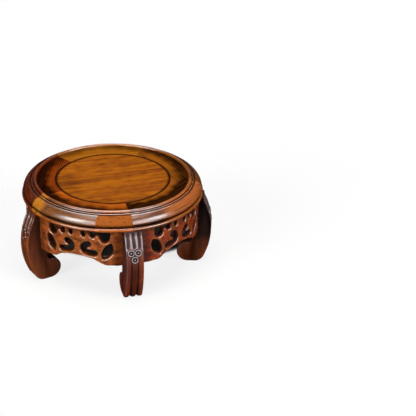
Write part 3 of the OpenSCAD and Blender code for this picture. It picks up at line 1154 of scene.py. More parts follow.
@dataclass
class CarvedLeg:
    """A bowed leg with flutes, three ringlets, long grooves and a scrolled toe."""

    half_w: float = 9.5
    edge: float = 1.1
    neck_mid: Pair = (114.5, 81.0)
    neck_r: float = 13.0
    neck_turn: float = 25.7
    upper_mid: Pair = (33.7, 42.0)
    upper_r: float = 76.8
    lower_mid: Pair = (27.02, 42.0)
    lower_r: float = 83.48
    heel_mid: Pair = (92.0, 12.0)
    heel_r: float = 12.0
    heel_turn: float = 24.8
    toe_mid: Pair = (84.0, 11.8)
    toe_r: float = 11.8
    crook_mid: Pair = (84.5, 26.59)
    crook_r: float = 3.0
    inner_r: float = 87.5
    flute_pitch: float = 6.0
    flute_half: float = 2.2
    flute_depth: float = 1.25
    flute_end: float = 66.0
    ringlet_z: float = 60.3
    ringlet_pitch: float = 7.6
    ringlet_drop: float = 7.3
    ringlet_mid_r: float = 3.15
    ringlet_wire: float = 0.8
    ringlet_sink: float = 0.15
    dot_r: float = 1.15
    recess: float = 0.35
    groove_side: float = 3.5
    groove_half: float = 1.75
    groove_depth: float = 1.45
    groove_top: float = 47.0
    fine: float = 0.36
    coarse: float = 1.1
    column: float = 0.34
    edge_steps: int = 6
    flute_sway: float = 0.16
    flute_end_play: float = 0.5
    flute_depth_play: float = 0.1
    groove_sway: float = 0.18
    recess_away: Pair = (4.4, 3.2)
    cut_blur: float = 0.9
    hand: float = 0.1
    edge_calm: float = 1.2
    ringlet_play: float = 0.25
    ring_points: int = 40
    wire_points: int = 14
    dot_segments: int = 24
    dot_rings: int = 12
    dot_flat: float = 0.62
    board_pitch: Pair = (230.0, 90.0)
    seed: int = 40
    marks: LegWear = LegWear()

    def side_line(self) -> tuple[Array, int]:
        """Draw the leg's side view, from its top down the front, round the toe and up its inner side.

        Returns:
            The points, radius and height, and the number of those that lie on the carved front.
        """
        front = np.vstack(
            [
                arc(self.neck_mid, self.neck_r, 180.0, 180.0 + self.neck_turn, step=0.2)[:-1],
                arc(self.upper_mid, self.upper_r, self.neck_turn, 0.0, step=0.2)[:-1],
                arc(self.lower_mid, self.lower_r, 0.0, -self.heel_turn, step=0.2)[:-1],
                arc(self.heel_mid, self.heel_r, -self.heel_turn, -90.0, step=0.2),
            ]
        )
        (crook_r, crook_z), (toe_r, toe_z) = self.crook_mid, self.toe_mid
        toe_end = math.degrees(math.atan2(crook_z - toe_z, crook_r - toe_r))
        back = np.vstack(
            [
                front[-1:],
                arc(self.toe_mid, self.toe_r, -90.0, toe_end - 360.0, step=0.3)[:-1],
                arc(self.crook_mid, self.crook_r, toe_end - 180.0, 0.0, step=0.3),
                [(self.inner_r, UNDER_Z)],
            ]
        )
        carved = respaced(front, self.fine, closed=False)
        rest = respaced(back, self.coarse, closed=False)[1:]
        return np.vstack([carved, rest]), len(carved)

    def ringlet_spots(self) -> list[Pair]:
        """Return each ringlet's place, across the leg and up it."""
        half = self.ringlet_pitch / 2
        return [(-half, self.ringlet_z), (half, self.ringlet_z), (0.0, self.ringlet_z - self.ringlet_drop)]

    def carving(self, line: Array, carved: int, across: Array, rng: np.random.Generator) -> Array:
        """Work out how deep the front is cut.

        Args:
            line: The side view's points.
            carved: The number of points on the carved front.
            across: The columns' places across the leg.
            rng: The source of the hand's unevenness.

        Returns:
            Depths by row and column.
        """
        run = np.r_[0.0, np.cumsum(np.hypot(*np.diff(line, axis=0).T))]
        height = line[:, 1]
        u, y = run[:, None], across[None, :]
        depth = np.zeros((len(line), len(across)))
        on_front = np.arange(len(line)) < carved
        u_end = float(np.interp(-self.flute_end, -height[:carved], run[:carved]))
        cut_r = (self.flute_half**2 + self.flute_depth**2) / (2 * self.flute_depth)
        for side in (-1, 0, 1):
            middle = side * self.flute_pitch + self.flute_sway * waver(u, rng, (31.0, 17.0))
            past = np.maximum(u - u_end - rng.uniform(-self.flute_end_play, self.flute_end_play), 0.0)
            away = (y - middle) ** 2 + past**2
            cut = np.sqrt(np.maximum(cut_r**2 - away, 0.0)) - (cut_r - self.flute_depth)
            depth = np.maximum(depth, cut * (1.0 + self.flute_depth_play * waver(u, rng, (23.0,))))
        u_top = float(np.interp(-self.groove_top, -height[:carved], run[:carved]))
        u_heel = float(np.interp(-self.heel_mid[1], -height[:carved], run[:carved]))
        groove_r = (self.groove_half**2 + self.groove_depth**2) / (2 * self.groove_depth)
        deep = np.clip((u - u_top) / (u_heel - u_top), 0.0, 1.0) * self.groove_depth
        for side in (-1, 1):
            middle = side * self.groove_side + self.groove_sway * waver(u, rng, (37.0, 19.0))
            cut = np.sqrt(np.maximum(groove_r**2 - (y - middle) ** 2, 0.0)) - groove_r + deep
            depth = np.maximum(depth, np.where(deep > 0.0, cut, 0.0))
        for place, z in self.ringlet_spots():
            u_mid = float(np.interp(-z, -height[:carved], run[:carved]))
            from_mid = np.hypot(y - place, u - u_mid)
            depth = np.maximum(depth, self.recess * smoothstep(*self.recess_away, from_mid))
        depth *= on_front[:, None]
        depth = softened(depth, (self.cut_blur, self.cut_blur))
        uneven = self.hand * waver(u + 3.0 * y, rng, (29.0, 13.0)) * on_front[:, None]
        calm = smoothstep(0.0, self.edge_calm, self.half_w - np.abs(y))
        return np.maximum(depth + (uneven + self.hand) / 2, 0.0) * calm

    def body(self, rng: np.random.Generator) -> Shell:
        """Make the leg's body along +X.

        Args:
            rng: The source of the hand's unevenness.

        Returns:
            The body.
        """
        line, carved = self.side_line()
        slope = np.gradient(line, axis=0)
        inward = np.c_[slope[:, 1], -slope[:, 0]]
        inward /= np.hypot(*inward.T)[:, None]
        flat = self.half_w - self.edge
        bend = np.radians(np.linspace(0.0, 90.0, self.edge_steps))[1:]
        middle = np.linspace(-flat, flat, round(2 * flat / self.column) + 1)
        side, drop = flat + self.edge * np.sin(bend), self.edge * (1 - np.cos(bend))
        across = np.r_[-side[::-1], middle, side]
        sunk = np.r_[drop[::-1], np.zeros(len(middle)), drop]
        depth = self.carving(line, carved, across, rng)
        into = depth + sunk[None, :]
        place = line[:, None, :] + into[:, :, None] * inward[:, None, :]
        points = np.stack([place[..., 0], np.broadcast_to(across, into.shape), place[..., 1]], axis=-1)
        rows, columns = into.shape
        index = np.arange(rows * columns).reshape(rows, columns)
        quads = np.stack([index[:-1, :-1], index[1:, :-1], index[1:, 1:], index[:-1, 1:]], axis=-1)
        faces: list[Face] = [tuple(quad) for quad in quads.reshape(-1, 4).tolist()]
        faces += [tuple(index[:, 0].tolist()), tuple(index[::-1, -1].tolist())]
        faces += [(*index[0].tolist(), *index[-1, ::-1].tolist())]
        patina_and_shade, worn_and_sheen = self.wear(line, carved, across, into, depth)
        points = points.reshape(-1, 3)
        return Shell(points, faces, self.board(points), patina_and_shade.ravel(), worn_and_sheen.ravel())

    def wear(self, line: Array, carved: int, across: Array, into: Array, depth: Array) -> tuple[Array, Array]:
        """Work out where dirt has settled on the body, where shade and sheen are painted on it and where
        hands have worn it.

        Args:
            line: The side view's points.
            carved: The number of points on the carved front.
            across: The columns' places across the leg.
            into: How far each point lies behind the uncarved front.
            depth: How deep the front is cut.

        Returns:
            The dirt with painted shade, and the wear with painted sheen, by row and column.
        """
        marks, row, z = self.marks, np.arange(len(line)), line[:, 1]
        aside = np.abs(across)
        on_front = (row < carved)[:, None]
        fluted = smoothstep(*(self.flute_end + shift for shift in marks.fluted), z)[:, None]
        raised = softened(into, (marks.ridge_blur, marks.ridge_blur)) - into
        ridge = np.clip(raised / marks.ridge_height, 0.0, 1.0) ** marks.ridge_power
        corner = np.abs(aside - self.half_w + self.edge / 2) < self.edge / 2
        # The flute ridges are lighter: wear, and a painted sheen in the leg's grey-mauve rubbed colour
        worn_and_sheen = np.maximum(ridge, marks.flutes_worn_and_sheen) * fluted * on_front
        worn_and_sheen = np.maximum(worn_and_sheen, marks.corners_worn * corner[None, :])

        cut = np.clip(depth / marks.cut_depth, 0.0, 1.0) * (marks.cut_dirt - marks.flutes_wiped * fluted)
        core = smoothstep(*marks.core_across, aside)[None, :] * smoothstep(*marks.core_z, z)[:, None]
        groove = smoothstep(*marks.groove_across, np.abs(aside - self.groove_side))[None, :]
        groove = groove * smoothstep(*marks.groove_z, z)[:, None]
        settled = [marks.core_dirt * core, marks.groove_dirt * groove]
        for place, height in self.ringlet_spots():
            away = np.hypot((across - place)[None, :], marks.ringlet_slope * (z - height)[:, None])
            settled.append(smoothstep(*marks.ringlet_away, away))
        patina_and_shade = np.maximum(cut, np.maximum.reduce(settled) * on_front)

        # Painted shadow just under the ring
        top = marks.top_shadow * smoothstep(marks.top_reach, 0.0, UNDER_Z - z)
        sole = marks.sole_dirt * smoothstep(marks.sole_reach, 0.0, z)
        toe = marks.toe_dirt * smoothstep(*marks.toe_r, line[:, 0]) * smoothstep(*marks.toe_z, z)
        # Painted shade on the inner side, higher up under the ring
        inside = marks.inside_shade * (row >= carved + marks.inside_rows) * smoothstep(*marks.inside_z, z)
        patina_and_shade = np.maximum(patina_and_shade, np.clip(top + sole + toe + inside, 0.0, marks.hidden_most)[:, None])
        # Painted shade on the sides, darkest high up under the ring
        low, high = marks.side_z
        shade = np.clip((z - low) / (high - low), 0.0, 1.0)[:, None] * (aside > self.half_w - marks.side_skin)
        return np.maximum(patina_and_shade, marks.side_shade * shade), worn_and_sheen

    @staticmethod
    def board(points: Array) -> Array:
        """Return the coordinates in the leg's wood, whose grain stands upright."""
        return np.c_[points[:, 2], points[:, 1], points[:, 0]]

    def ringlet_tree(self) -> Tree:
        """Build the tree that sets a ring and a dot on each ringlet's place.

        Returns:
            The tree.
        """
        tree = new_tree(
            "ringlets",
            (
                ("Ring Radius", "NodeSocketFloat", self.ringlet_mid_r * MM),
                ("Wire Radius", "NodeSocketFloat", self.ringlet_wire * MM),
                ("Dot Radius", "NodeSocketFloat", self.dot_r * MM),
                ("Material", "NodeSocketMaterial", None),
            ),
        )
        given = add_node(tree, "NodeGroupInput")
        circles = []
        for points, radius in ((self.ring_points, "Ring Radius"), (self.wire_points, "Wire Radius")):
            inputs = {"Resolution": points, "Radius": given.outputs[radius]}
            circles.append(add_node(tree, "GeometryNodeCurvePrimitiveCircle", inputs).outputs["Curve"])
        ring, wire = circles
        torus = add_node(tree, "GeometryNodeCurveToMesh", {"Curve": ring, "Profile Curve": wire})
        ball = add_node(
            tree,
            "GeometryNodeMeshUVSphere",
            {"Segments": self.dot_segments, "Rings": self.dot_rings, "Radius": given.outputs["Dot Radius"]},
        )
        flat = (1.0, 1.0, self.dot_flat)
        dot = add_node(tree, "GeometryNodeTransform", {"Geometry": ball.outputs["Mesh"], "Scale": flat})
        ringlet = add_node(tree, "GeometryNodeJoinGeometry")
        tree.links.new(torus.outputs["Mesh"], ringlet.inputs["Geometry"])
        tree.links.new(dot.outputs["Geometry"], ringlet.inputs["Geometry"])
        outward = add_node(
            tree, "GeometryNodeInputNamedAttribute", {"Name": "outward"}, data_type="FLOAT_VECTOR"
        )
        facing = add_node(
            tree, "FunctionNodeAlignRotationToVector", {"Vector": outward.outputs["Attribute"]}, axis="Z"
        )
        placed = add_node(
            tree,
            "GeometryNodeInstanceOnPoints",
            {
                "Points": given.outputs["Geometry"],
                "Instance": ringlet.outputs["Geometry"],
                "Rotation": facing.outputs["Rotation"],
            },
        )
        close_tree(tree, placed.outputs["Instances"], given.outputs["Material"])
        return tree

    def ringlets(self, tree: Tree, material: bpy.types.Material, rng: np.random.Generator) -> Shell:
        """Make a leg's three ringlets along +X.

        Args:
            tree: The ringlets' tree.
            material: The leg's finish.
            rng: The source of the hand's unevenness.

        Returns:
            The ringlets.
        """
        places, outward = [], []
        for across, z in self.ringlet_spots():
            play = rng.uniform(-self.ringlet_play, self.ringlet_play)
            rise = math.asin((z + play - self.upper_mid[1]) / self.upper_r)
            out = np.array((math.cos(rise), 0.0, math.sin(rise)))
            middle = np.array((self.upper_mid[0], across, self.upper_mid[1]))
            places.append(middle + (self.upper_r - self.ringlet_sink) * out)
            outward.append(out)
        base = bpy.data.meshes.new("ringlet_places")
        base.from_pydata((np.array(places) * MM).tolist(), [], [])
        layer = base.attributes.new("outward", "FLOAT_VECTOR", "POINT")
        layer.data.foreach_set("vector", np.array(outward, dtype=np.float32).ravel())
        sizes = {
            "Ring Radius": self.ringlet_mid_r * MM,
            "Wire Radius": self.ringlet_wire * MM,
            "Dot Radius": self.dot_r * MM,
            "Material": material,
        }
        points, faces = grown(base, tree, sizes)
        apart = points[:, None, :] - np.array(places)[None, :, :]
        nearest = np.argmin(np.linalg.norm(apart, axis=2), axis=1)
        height = np.einsum("ij,ij->i", apart[np.arange(len(points)), nearest], np.array(outward)[nearest])
        # The ringlet crests are lighter: wear, and a painted highlight in the leg's rubbed colour
        worn_and_sheen = smoothstep(*self.marks.ringlet_worn_and_sheen, height)
        patina_and_shade = smoothstep(*self.marks.ringlet_dirt, height)
        return Shell(points, faces, self.board(points), patina_and_shade, worn_and_sheen)

    def build(self, finishes: Sequence[WoodFinish]) -> None:
        """Make the five legs.

        Args:
            finishes: The legs' finishes in order.
        """
        tree = self.ringlet_tree()
        for number, finish in enumerate(finishes, start=1):
            rng = np.random.default_rng(self.seed + number)
            material = finish.material()
            shell = self.body(rng).joined(self.ringlets(tree, material, rng))
            shell.board += number * np.array((*self.board_pitch, 0.0))
            piece = shell.turned(leg_azimuth(number)).piece(f"leg_{number}_dressed", material)
            enter(piece, f"leg_{number}")


@dataclass(frozen=True)
class EdgeLayer:
    """A line of points round every edge of an apron: how far in and deep it lies, its painted shade and its
    wear.
    """

    inset: Array
    depth: Array
    dirt_and_shade: float
    worn_and_sheen: float


@dataclass
class PiercedApron:
    """A curved apron between two legs, pierced with leaves, hooks and notches, its edges rounded over."""

    face_r: float = 96.5
    thickness: float = 8.0
    end_z: float = 40.0
    half_length: float = 51.5
    arch_mid_z: float = 1.54
    arch_r: float = 48.46
    arch_half: float = 36.0
    arch_end_r: float = 20.0
    arch_end_z: float = 59.7
    arch_turn_z: float = 42.71
    leaf_mid: Pair = (33.0, 56.2)
    leaf_length: float = 22.0
    leaf_width: float = 11.5
    leaf_lean: float = 27.0
    hook_mid: Pair = (11.5, 59.3)
    hook_r: float = 8.5
    hook_eye: tuple[float, float, float] = (-0.43, 4.6, 4.4)
    hook_lobe: Pair = (0.0, -5.1)
    hook_far_lobe: Pair = (7.65, -6.1)
    hook_lobe_r: float = 3.7
    hook_tip: tuple[float, float, float] = (0.85, -0.3, 1.5)
    notch_z: float = 74.8
    bay: tuple[float, float, float] = (30.3, 72.4, 5.9)
    cove: Pair = (17.5, 3.2)
    nick: Pair = (7.2, 2.6)
    shifts: tuple[float, ...] = (0.6, -0.5, 0.4, -0.7, 1.3)
    grid: float = 0.4
    spacing: float = 0.55
    inner_grid: float = 1.4
    lip: float = 0.95
    dub: float = 0.40
    dub_reach: float = 2.0
    hand: float = 0.30
    tool_mark: float = 0.12
    top_play: float = 0.2
    top_calm: float = 8.0
    shift_fade: Pair = (50.0, 44.0)
    edge_slope: float = 0.85
    margin_cells: int = 4
    field_blur: float = 1.0
    smooth_rounds: int = 2
    least_points: int = 12
    probe: float = 0.1
    lip_rounds: int = 4
    lip_turns: tuple[float, ...] = (0.0, 22.0, 45.0, 68.0, 90.0)
    lip_share: float = 0.62
    lip_slack: float = 0.02
    wall_shares: Pair = (0.35, 0.7)
    inner_clear: float = 0.55
    front_depth: float = 1.0
    lip_shade: float = 0.35
    wall_shade: Pair = (0.45, 0.5)
    back_shade: float = 0.95
    lip_worn: float = 0.45
    edge_worn: float = 0.35
    edge_worn_reach: float = 1.6
    ends: Pair = (38.5, 45.5)
    ends_sway: float = 1.5
    ends_darkening: float = 0.65
    top_reach: Pair = (7.0, 1.0)
    top_shadow: float = 0.7
    darkening_kept: float = 0.8
    board_pitch: Pair = (260.0, 120.0)
    seed: int = 70

    def cut_field(self, s: Array, z: Array) -> Array:
        """Measure how far points lie outside the wood.

        Args:
            s: The points' places along the face, from its middle.
            z: Their heights.

        Returns:
            Rough distances, negative in the wood.
        """
        a = np.abs(s)
        disc = self.arch_mid_z + np.sqrt(np.maximum(self.arch_r**2 - a**2, 0.0))
        block = np.where(a < self.arch_half, self.arch_turn_z, self.end_z)
        turned = self.arch_end_r**2 - (a - self.arch_half) ** 2
        low = np.where(
            (turned > 0.0) & (a < self.arch_half),
            self.arch_end_z - np.sqrt(np.maximum(turned, 0.0)),
            np.inf,
        )
        edge = np.maximum(np.minimum(np.maximum(disc, block), low), self.end_z)
        outside = np.maximum.reduce(
            [a - self.half_length, z - UNDER_Z - self.top_play, self.edge_slope * (edge - z)]
        )
        holes = np.minimum.reduce([self.leaf(a, z), self.hook(a, z), self.notches(a, z)])
        return np.maximum(outside, -holes)

    def leaf(self, s: Array, z: Array) -> Array:
        """Measure how far points lie outside the leaf-shaped hole.

        Args:
            s: The points' places along the face, from its middle.
            z: Their heights.

        Returns:
            Rough distances, negative inside it.
        """
        lean = math.radians(self.leaf_lean)
        x, y = s - self.leaf_mid[0], z - self.leaf_mid[1]
        across, along = x * math.cos(lean) - y * math.sin(lean), x * math.sin(lean) + y * math.cos(lean)
        side_r = (self.leaf_length**2 + self.leaf_width**2) / (4 * self.leaf_width)
        return np.hypot(np.abs(across) + side_r - self.leaf_width / 2, along) - side_r

    def hook(self, s: Array, z: Array) -> Array:
        """Measure how far points lie outside the hook-shaped hole.

        Args:
            s: The points' places along the face, from its middle.
            z: Their heights.

        Returns:
            Rough distances, negative inside it.
        """
        x, y = s - self.hook_mid[0], z - self.hook_mid[1]
        eye = np.hypot(x - self.hook_eye[0], y - self.hook_eye[1]) - self.hook_eye[2]
        start, end = np.array(self.hook_lobe), np.array(self.hook_far_lobe)
        run = end - start
        t = np.clip(((x - start[0]) * run[0] + (y - start[1]) * run[1]) / (run @ run), 0.0, 1.0)
        lobe = np.hypot(x - start[0] - t * run[0], y - start[1] - t * run[1]) - self.hook_lobe_r
        bowl = np.maximum(np.hypot(x, y) - self.hook_r, np.minimum(x - self.hook_tip[0], eye))
        tip = np.hypot(x - self.hook_tip[0], y - self.hook_tip[1]) - self.hook_tip[2]
        return np.maximum(np.minimum(bowl, lobe), -tip)

    def notches(self, s: Array, z: Array) -> Array:
        """Measure how far points lie outside the notches in the top edge.

        Args:
            s: The points' places along the face, from its middle.
            z: Their heights.

        Returns:
            Rough distances, negative inside them.
        """
        (bay_s, bay_z, bay_r), (cove_s, cove_r), (nick_s, nick_r) = self.bay, self.cove, self.nick
        low = np.minimum(z - self.notch_z, 0.0)
        bay = np.hypot(s - bay_s, np.minimum(z - bay_z, 0.0)) - bay_r
        cove, nick = np.hypot(s - cove_s, low) - cove_r, np.hypot(s - nick_s, low) - nick_r
        between = np.maximum.reduce([cove_s - s, s - bay_s, self.notch_z - z])
        return np.minimum.reduce([bay, cove, nick, between])

    def outlines(self, shift: float, rng: np.random.Generator) -> list[Array]:
        """Trace the edges of the pierced wood, as a hand-held fret saw leaves them.

        Args:
            shift: How far the drawn pattern lies off the apron's middle.
            rng: The source of the hand's unevenness.

        Returns:
            The closed edges, evenly spaced.
        """
        margin = self.margin_cells * self.grid
        xs = np.arange(-self.half_length - margin, self.half_length + margin, self.grid)
        ys = np.arange(self.end_z - margin, UNDER_Z + margin, self.grid)
        s, z = np.meshgrid(xs, ys, indexing="ij")
        off = shift * smoothstep(*self.shift_fade, np.abs(s))
        calm = smoothstep(0.0, self.top_calm, UNDER_Z - z)
        s_moved = s - off + self.hand * waver(z + 0.3 * s, rng, (41.0, 19.0, 11.0))
        z_moved = z + self.hand * waver(s - 0.4 * z, rng, (47.0, 23.0, 12.0)) * calm
        field = softened(self.cut_field(s_moved, z_moved), (self.field_blur, self.field_blur))
        loops = []
        for loop in traced(field, xs, ys):
            even = respaced(loop, self.spacing, closed=True)
            for _ in range(self.smooth_rounds):
                even = (np.roll(even, 1, axis=0) + 2 * even + np.roll(even, -1, axis=0)) / 4
            if len(even) > self.least_points:
                loops.append(even)
        return loops

    def lips(self, loops: Sequence[Array]) -> tuple[Array, Array, Array]:
        """Find how each edge point is rounded over.

        Args:
            loops: The edges.

        Returns:
            All edge points, their directions into the wood, and their rounding radii.
        """
        edge = np.vstack(loops)
        inward = []
        for loop in loops:
            slope = np.roll(loop, -1, axis=0) - np.roll(loop, 1, axis=0)
            normal = np.c_[-slope[:, 1], slope[:, 0]] / np.hypot(*slope.T)[:, None]
            in_wood = within(loop + self.probe * normal, loops)
            inward.append(normal if in_wood.mean() > 0.5 else -normal)
        normals = np.vstack(inward)
        gap = edge[None, :, :] - edge[:, None, :]
        facing = np.einsum("ijk,ik->ij", gap, normals)
        # The largest ball that touches an edge point from inside the wood and holds no other edge point
        ball = np.where(facing > TINY, (gap**2).sum(axis=2) / (2 * np.maximum(facing, TINY)), np.inf)
        radius = np.minimum(self.lip, self.lip_share * ball.min(axis=1))
        start = 0
        for loop in loops:
            part = slice(start, start + len(loop))
            for _ in range(self.lip_rounds):
                around = np.minimum(np.roll(radius[part], 1), np.roll(radius[part], -1))
                radius[part] = np.minimum(radius[part], (radius[part] + around) / 2 + self.lip_slack)
            start += len(loop)
        return edge, normals, radius

    def infill(self, rims: Sequence[Array]) -> tuple[Array, list[Face]]:
        """Fill the face between its rounded edges.

        Args:
            rims: The inner lines of the rounded edges.

        Returns:
            The rims' points followed by inner ones, and the triangles between them.
        """
        border = np.vstack(rims)
        low, high = border.min(axis=0), border.max(axis=0)
        xs, ys = (np.arange(low[k], high[k], self.inner_grid) for k in range(2))
        lattice = np.stack(np.meshgrid(xs, ys, indexing="ij"), axis=-1)
        lattice[:, ::2, 0] += self.inner_grid / 2
        inner = lattice.reshape(-1, 2)
        inner = inner[within(inner, rims)]
        clear = np.min(np.linalg.norm(inner[:, None, :] - border[None, :, :], axis=2), axis=1)
        inner = inner[clear > self.inner_clear * self.inner_grid]
        points = np.vstack([border, inner])
        edges, start = [], 0
        for rim in rims:
            count = len(rim)
            edges += [(start + k, start + (k + 1) % count) for k in range(count)]
            start += count
        # Output type 0 fills the convex hull with triangles, of which those in the wood are kept
        corners = [Vector(point) for point in points]
        found, _, faces, origins, _, _ = delaunay_2d_cdt(corners, edges, [], 0, TINY / 10)
        spot = [origin[0] if origin else -1 for origin in origins]
        flat = np.array([tuple(v) for v in found])
        triangles = [face for face in faces if len(face) == 3]
        kept = within(np.array([flat[list(face)].mean(axis=0) for face in triangles]), rims)
        used = [tuple(spot[k] for k in face) for face, keep in zip(triangles, kept) if keep]
        return points, [face for face in used if min(face) >= 0]

    def layers(self, radius: Array) -> list[EdgeLayer]:
        """Lay out the rounded front edge, the wall behind it and the rounded back edge.

        Args:
            radius: The rounding radius at each edge point.

        Returns:
            The layers from the front face to the back.
        """
        turns = np.radians(self.lip_turns)
        layers = []
        # Painted shade deepens round the front lip, down the wall and over the rounded back edge
        for turn in turns[::-1]:
            inset, depth = radius * (1 - math.cos(turn)), radius * (1 - math.sin(turn))
            layers.append(EdgeLayer(inset, depth, self.lip_shade * math.cos(turn), self.lip_worn))
        near_shade, more_shade = self.wall_shade
        for share in self.wall_shares:
            wall = radius + share * (self.thickness - 2 * radius)
            layers.append(EdgeLayer(np.zeros_like(radius), wall, near_shade + more_shade * share, 0.0))
        for turn in turns:
            inset, depth = radius * (1 - math.cos(turn)), self.thickness - radius * (1 - math.sin(turn))
            layers.append(EdgeLayer(inset, depth, self.back_shade, 0.0))
        return layers

    def shell(self, shift: float, rng: np.random.Generator) -> Shell:
        """Make an apron whose middle lies along +X.

        Args:
            shift: How far the drawn pattern lies off the apron's middle.
            rng: The source of the hand's unevenness.

        Returns:
            The apron.
        """
        loops = self.outlines(shift, rng)
        edge, inward, radius = self.lips(loops)
        count, layers = len(edge), self.layers(radius)
        ends = np.cumsum([len(loop) for loop in loops])
        filled, triangles = self.infill(np.split(edge + inward * radius[:, None], ends[:-1]))
        inner = filled[count:]
        bare = np.zeros(len(inner))
        s, z = np.vstack([*(edge + inward * layer.inset[:, None] for layer in layers), inner, inner]).T
        sunk = np.concatenate([*(layer.depth for layer in layers), bare, bare + self.thickness])
        # Painted shade on the hole walls and on the hidden back face
        dark = np.r_[np.repeat([layer.dirt_and_shade for layer in layers], count), bare, bare + self.back_shade]
        worn_and_sheen = np.r_[np.repeat([layer.worn_and_sheen for layer in layers], count), bare, bare]

        base, last = count * (len(layers) - 1), count * (len(layers) - 1) + len(inner)
        front = [tuple(k + (0 if k < count else base) for k in face) for face in triangles]
        back = [tuple(k + (base if k < count else last) for k in face[::-1]) for face in triangles]
        faces = self.stitched(loops, len(layers)) + front + back

        far = np.min(np.linalg.norm(np.c_[s, z][:, None, :] - edge[None, :, :], axis=2), axis=1)
        on_front = sunk < self.front_depth
        sunk = sunk + self.dub * fading(far, self.dub_reach) * on_front
        sunk = sunk + self.tool_mark * (1.0 + waver(s + 0.5 * z, rng, (21.0, 13.0))) * on_front
        # Darker towards both ends, next to the legs
        end_darkening = smoothstep(*self.ends, np.abs(s) + self.ends_sway * waver(z, rng, (17.0, 9.0)))
        # Painted shadow under the ring along the top edge
        top_shadow = self.top_shadow * smoothstep(*self.top_reach, UNDER_Z - z)
        dark = np.maximum(dark, np.maximum(self.ends_darkening * end_darkening, top_shadow) * on_front)
        worn_and_sheen = np.maximum(worn_and_sheen, self.edge_worn * fading(far, self.edge_worn_reach)) * on_front
        worn_and_sheen = worn_and_sheen * (1.0 - self.darkening_kept * np.maximum(end_darkening, top_shadow))
        turn, reach = s / self.face_r, self.face_r - sunk
        points = np.c_[reach * np.cos(turn), reach * np.sin(turn), z]
        return Shell(points, faces, np.c_[s, z, sunk], dark, worn_and_sheen)

    @staticmethod
    def stitched(loops: Sequence[Array], layers: int) -> list[Face]:
        """Join the layers of edge points with quads.

        Args:
            loops: The edges.
            layers: The number of layers.

        Returns:
            The quads.
        """
        count = sum(len(loop) for loop in loops)
        faces: list[Face] = []
        start = 0
        for loop in loops:
            here = np.arange(len(loop)) + start
            there = np.roll(here, -1)
            for layer in range(layers - 1):
                a, b = layer * count, (layer + 1) * count
                faces += [tuple(q) for q in np.c_[here + a, there + a, there + b, here + b].tolist()]
            start += len(loop)
        return faces

    def build(self, finishes: Sequence[WoodFinish]) -> None:
        """Make the five aprons.

        Args:
            finishes: The aprons' finishes in order.
        """
        for number, (finish, shift) in enumerate(zip(finishes, self.shifts), start=1):
            shell = self.shell(shift, np.random.default_rng(self.seed + number))
            shell.board += number * np.array((*self.board_pitch, 0.0))
            turned = shell.turned(leg_azimuth(number) + BAY_ANGLE / 2)
            piece = turned.piece(f"apron_{number}_dressed", finish.material())
            enter(piece, f"apron_{number}")


@dataclass
class HiddenJoinery:
    """The loose tongues in the frame's seams and the pegs over the aprons, which keep their CAD shape."""

    def dress(self, nodes: dict[str, bpy.types.Object], tongue: WoodFinish, peg: WoodFinish) -> None:
        """Give the hidden pieces their finishes.

        Args:
            nodes: The CAD nodes by name.
            tongue: The tongues' finish.
            peg: The pegs' finish.
        """
        tongue_material, peg_material = tongue.material(), peg.material()
        for name, node in nodes.items():
            if name.startswith("seam_spline_") or name == "apron_pegs":
                node.data.materials.clear()
                node.data.materials.append(peg_material if name == "apron_pegs" else tongue_material)
                LOG.info("%s: CAD shape kept", name)


class Reach(Enum):
    """What a lamp adds: light and sheen, or the sheen alone as a white card does."""

    ALL = "all"
    SHEEN = "sheen"


@dataclass(frozen=True)
class Lamp:
    """A far, soft lamp, placed by its turn from the camera and its height above the floor, in degrees."""

    name: str
    turn: float
    rise: float
    spread: float
    strength: float
    reach: Reach = Reach.ALL


@dataclass(frozen=True)
class ShadowDisc:
    """A disc of floor. Where all such discs overlap, under the stand, a shadow is painted on the floor."""

    x: float
    y: float
    dark_r: float
    light_r: float


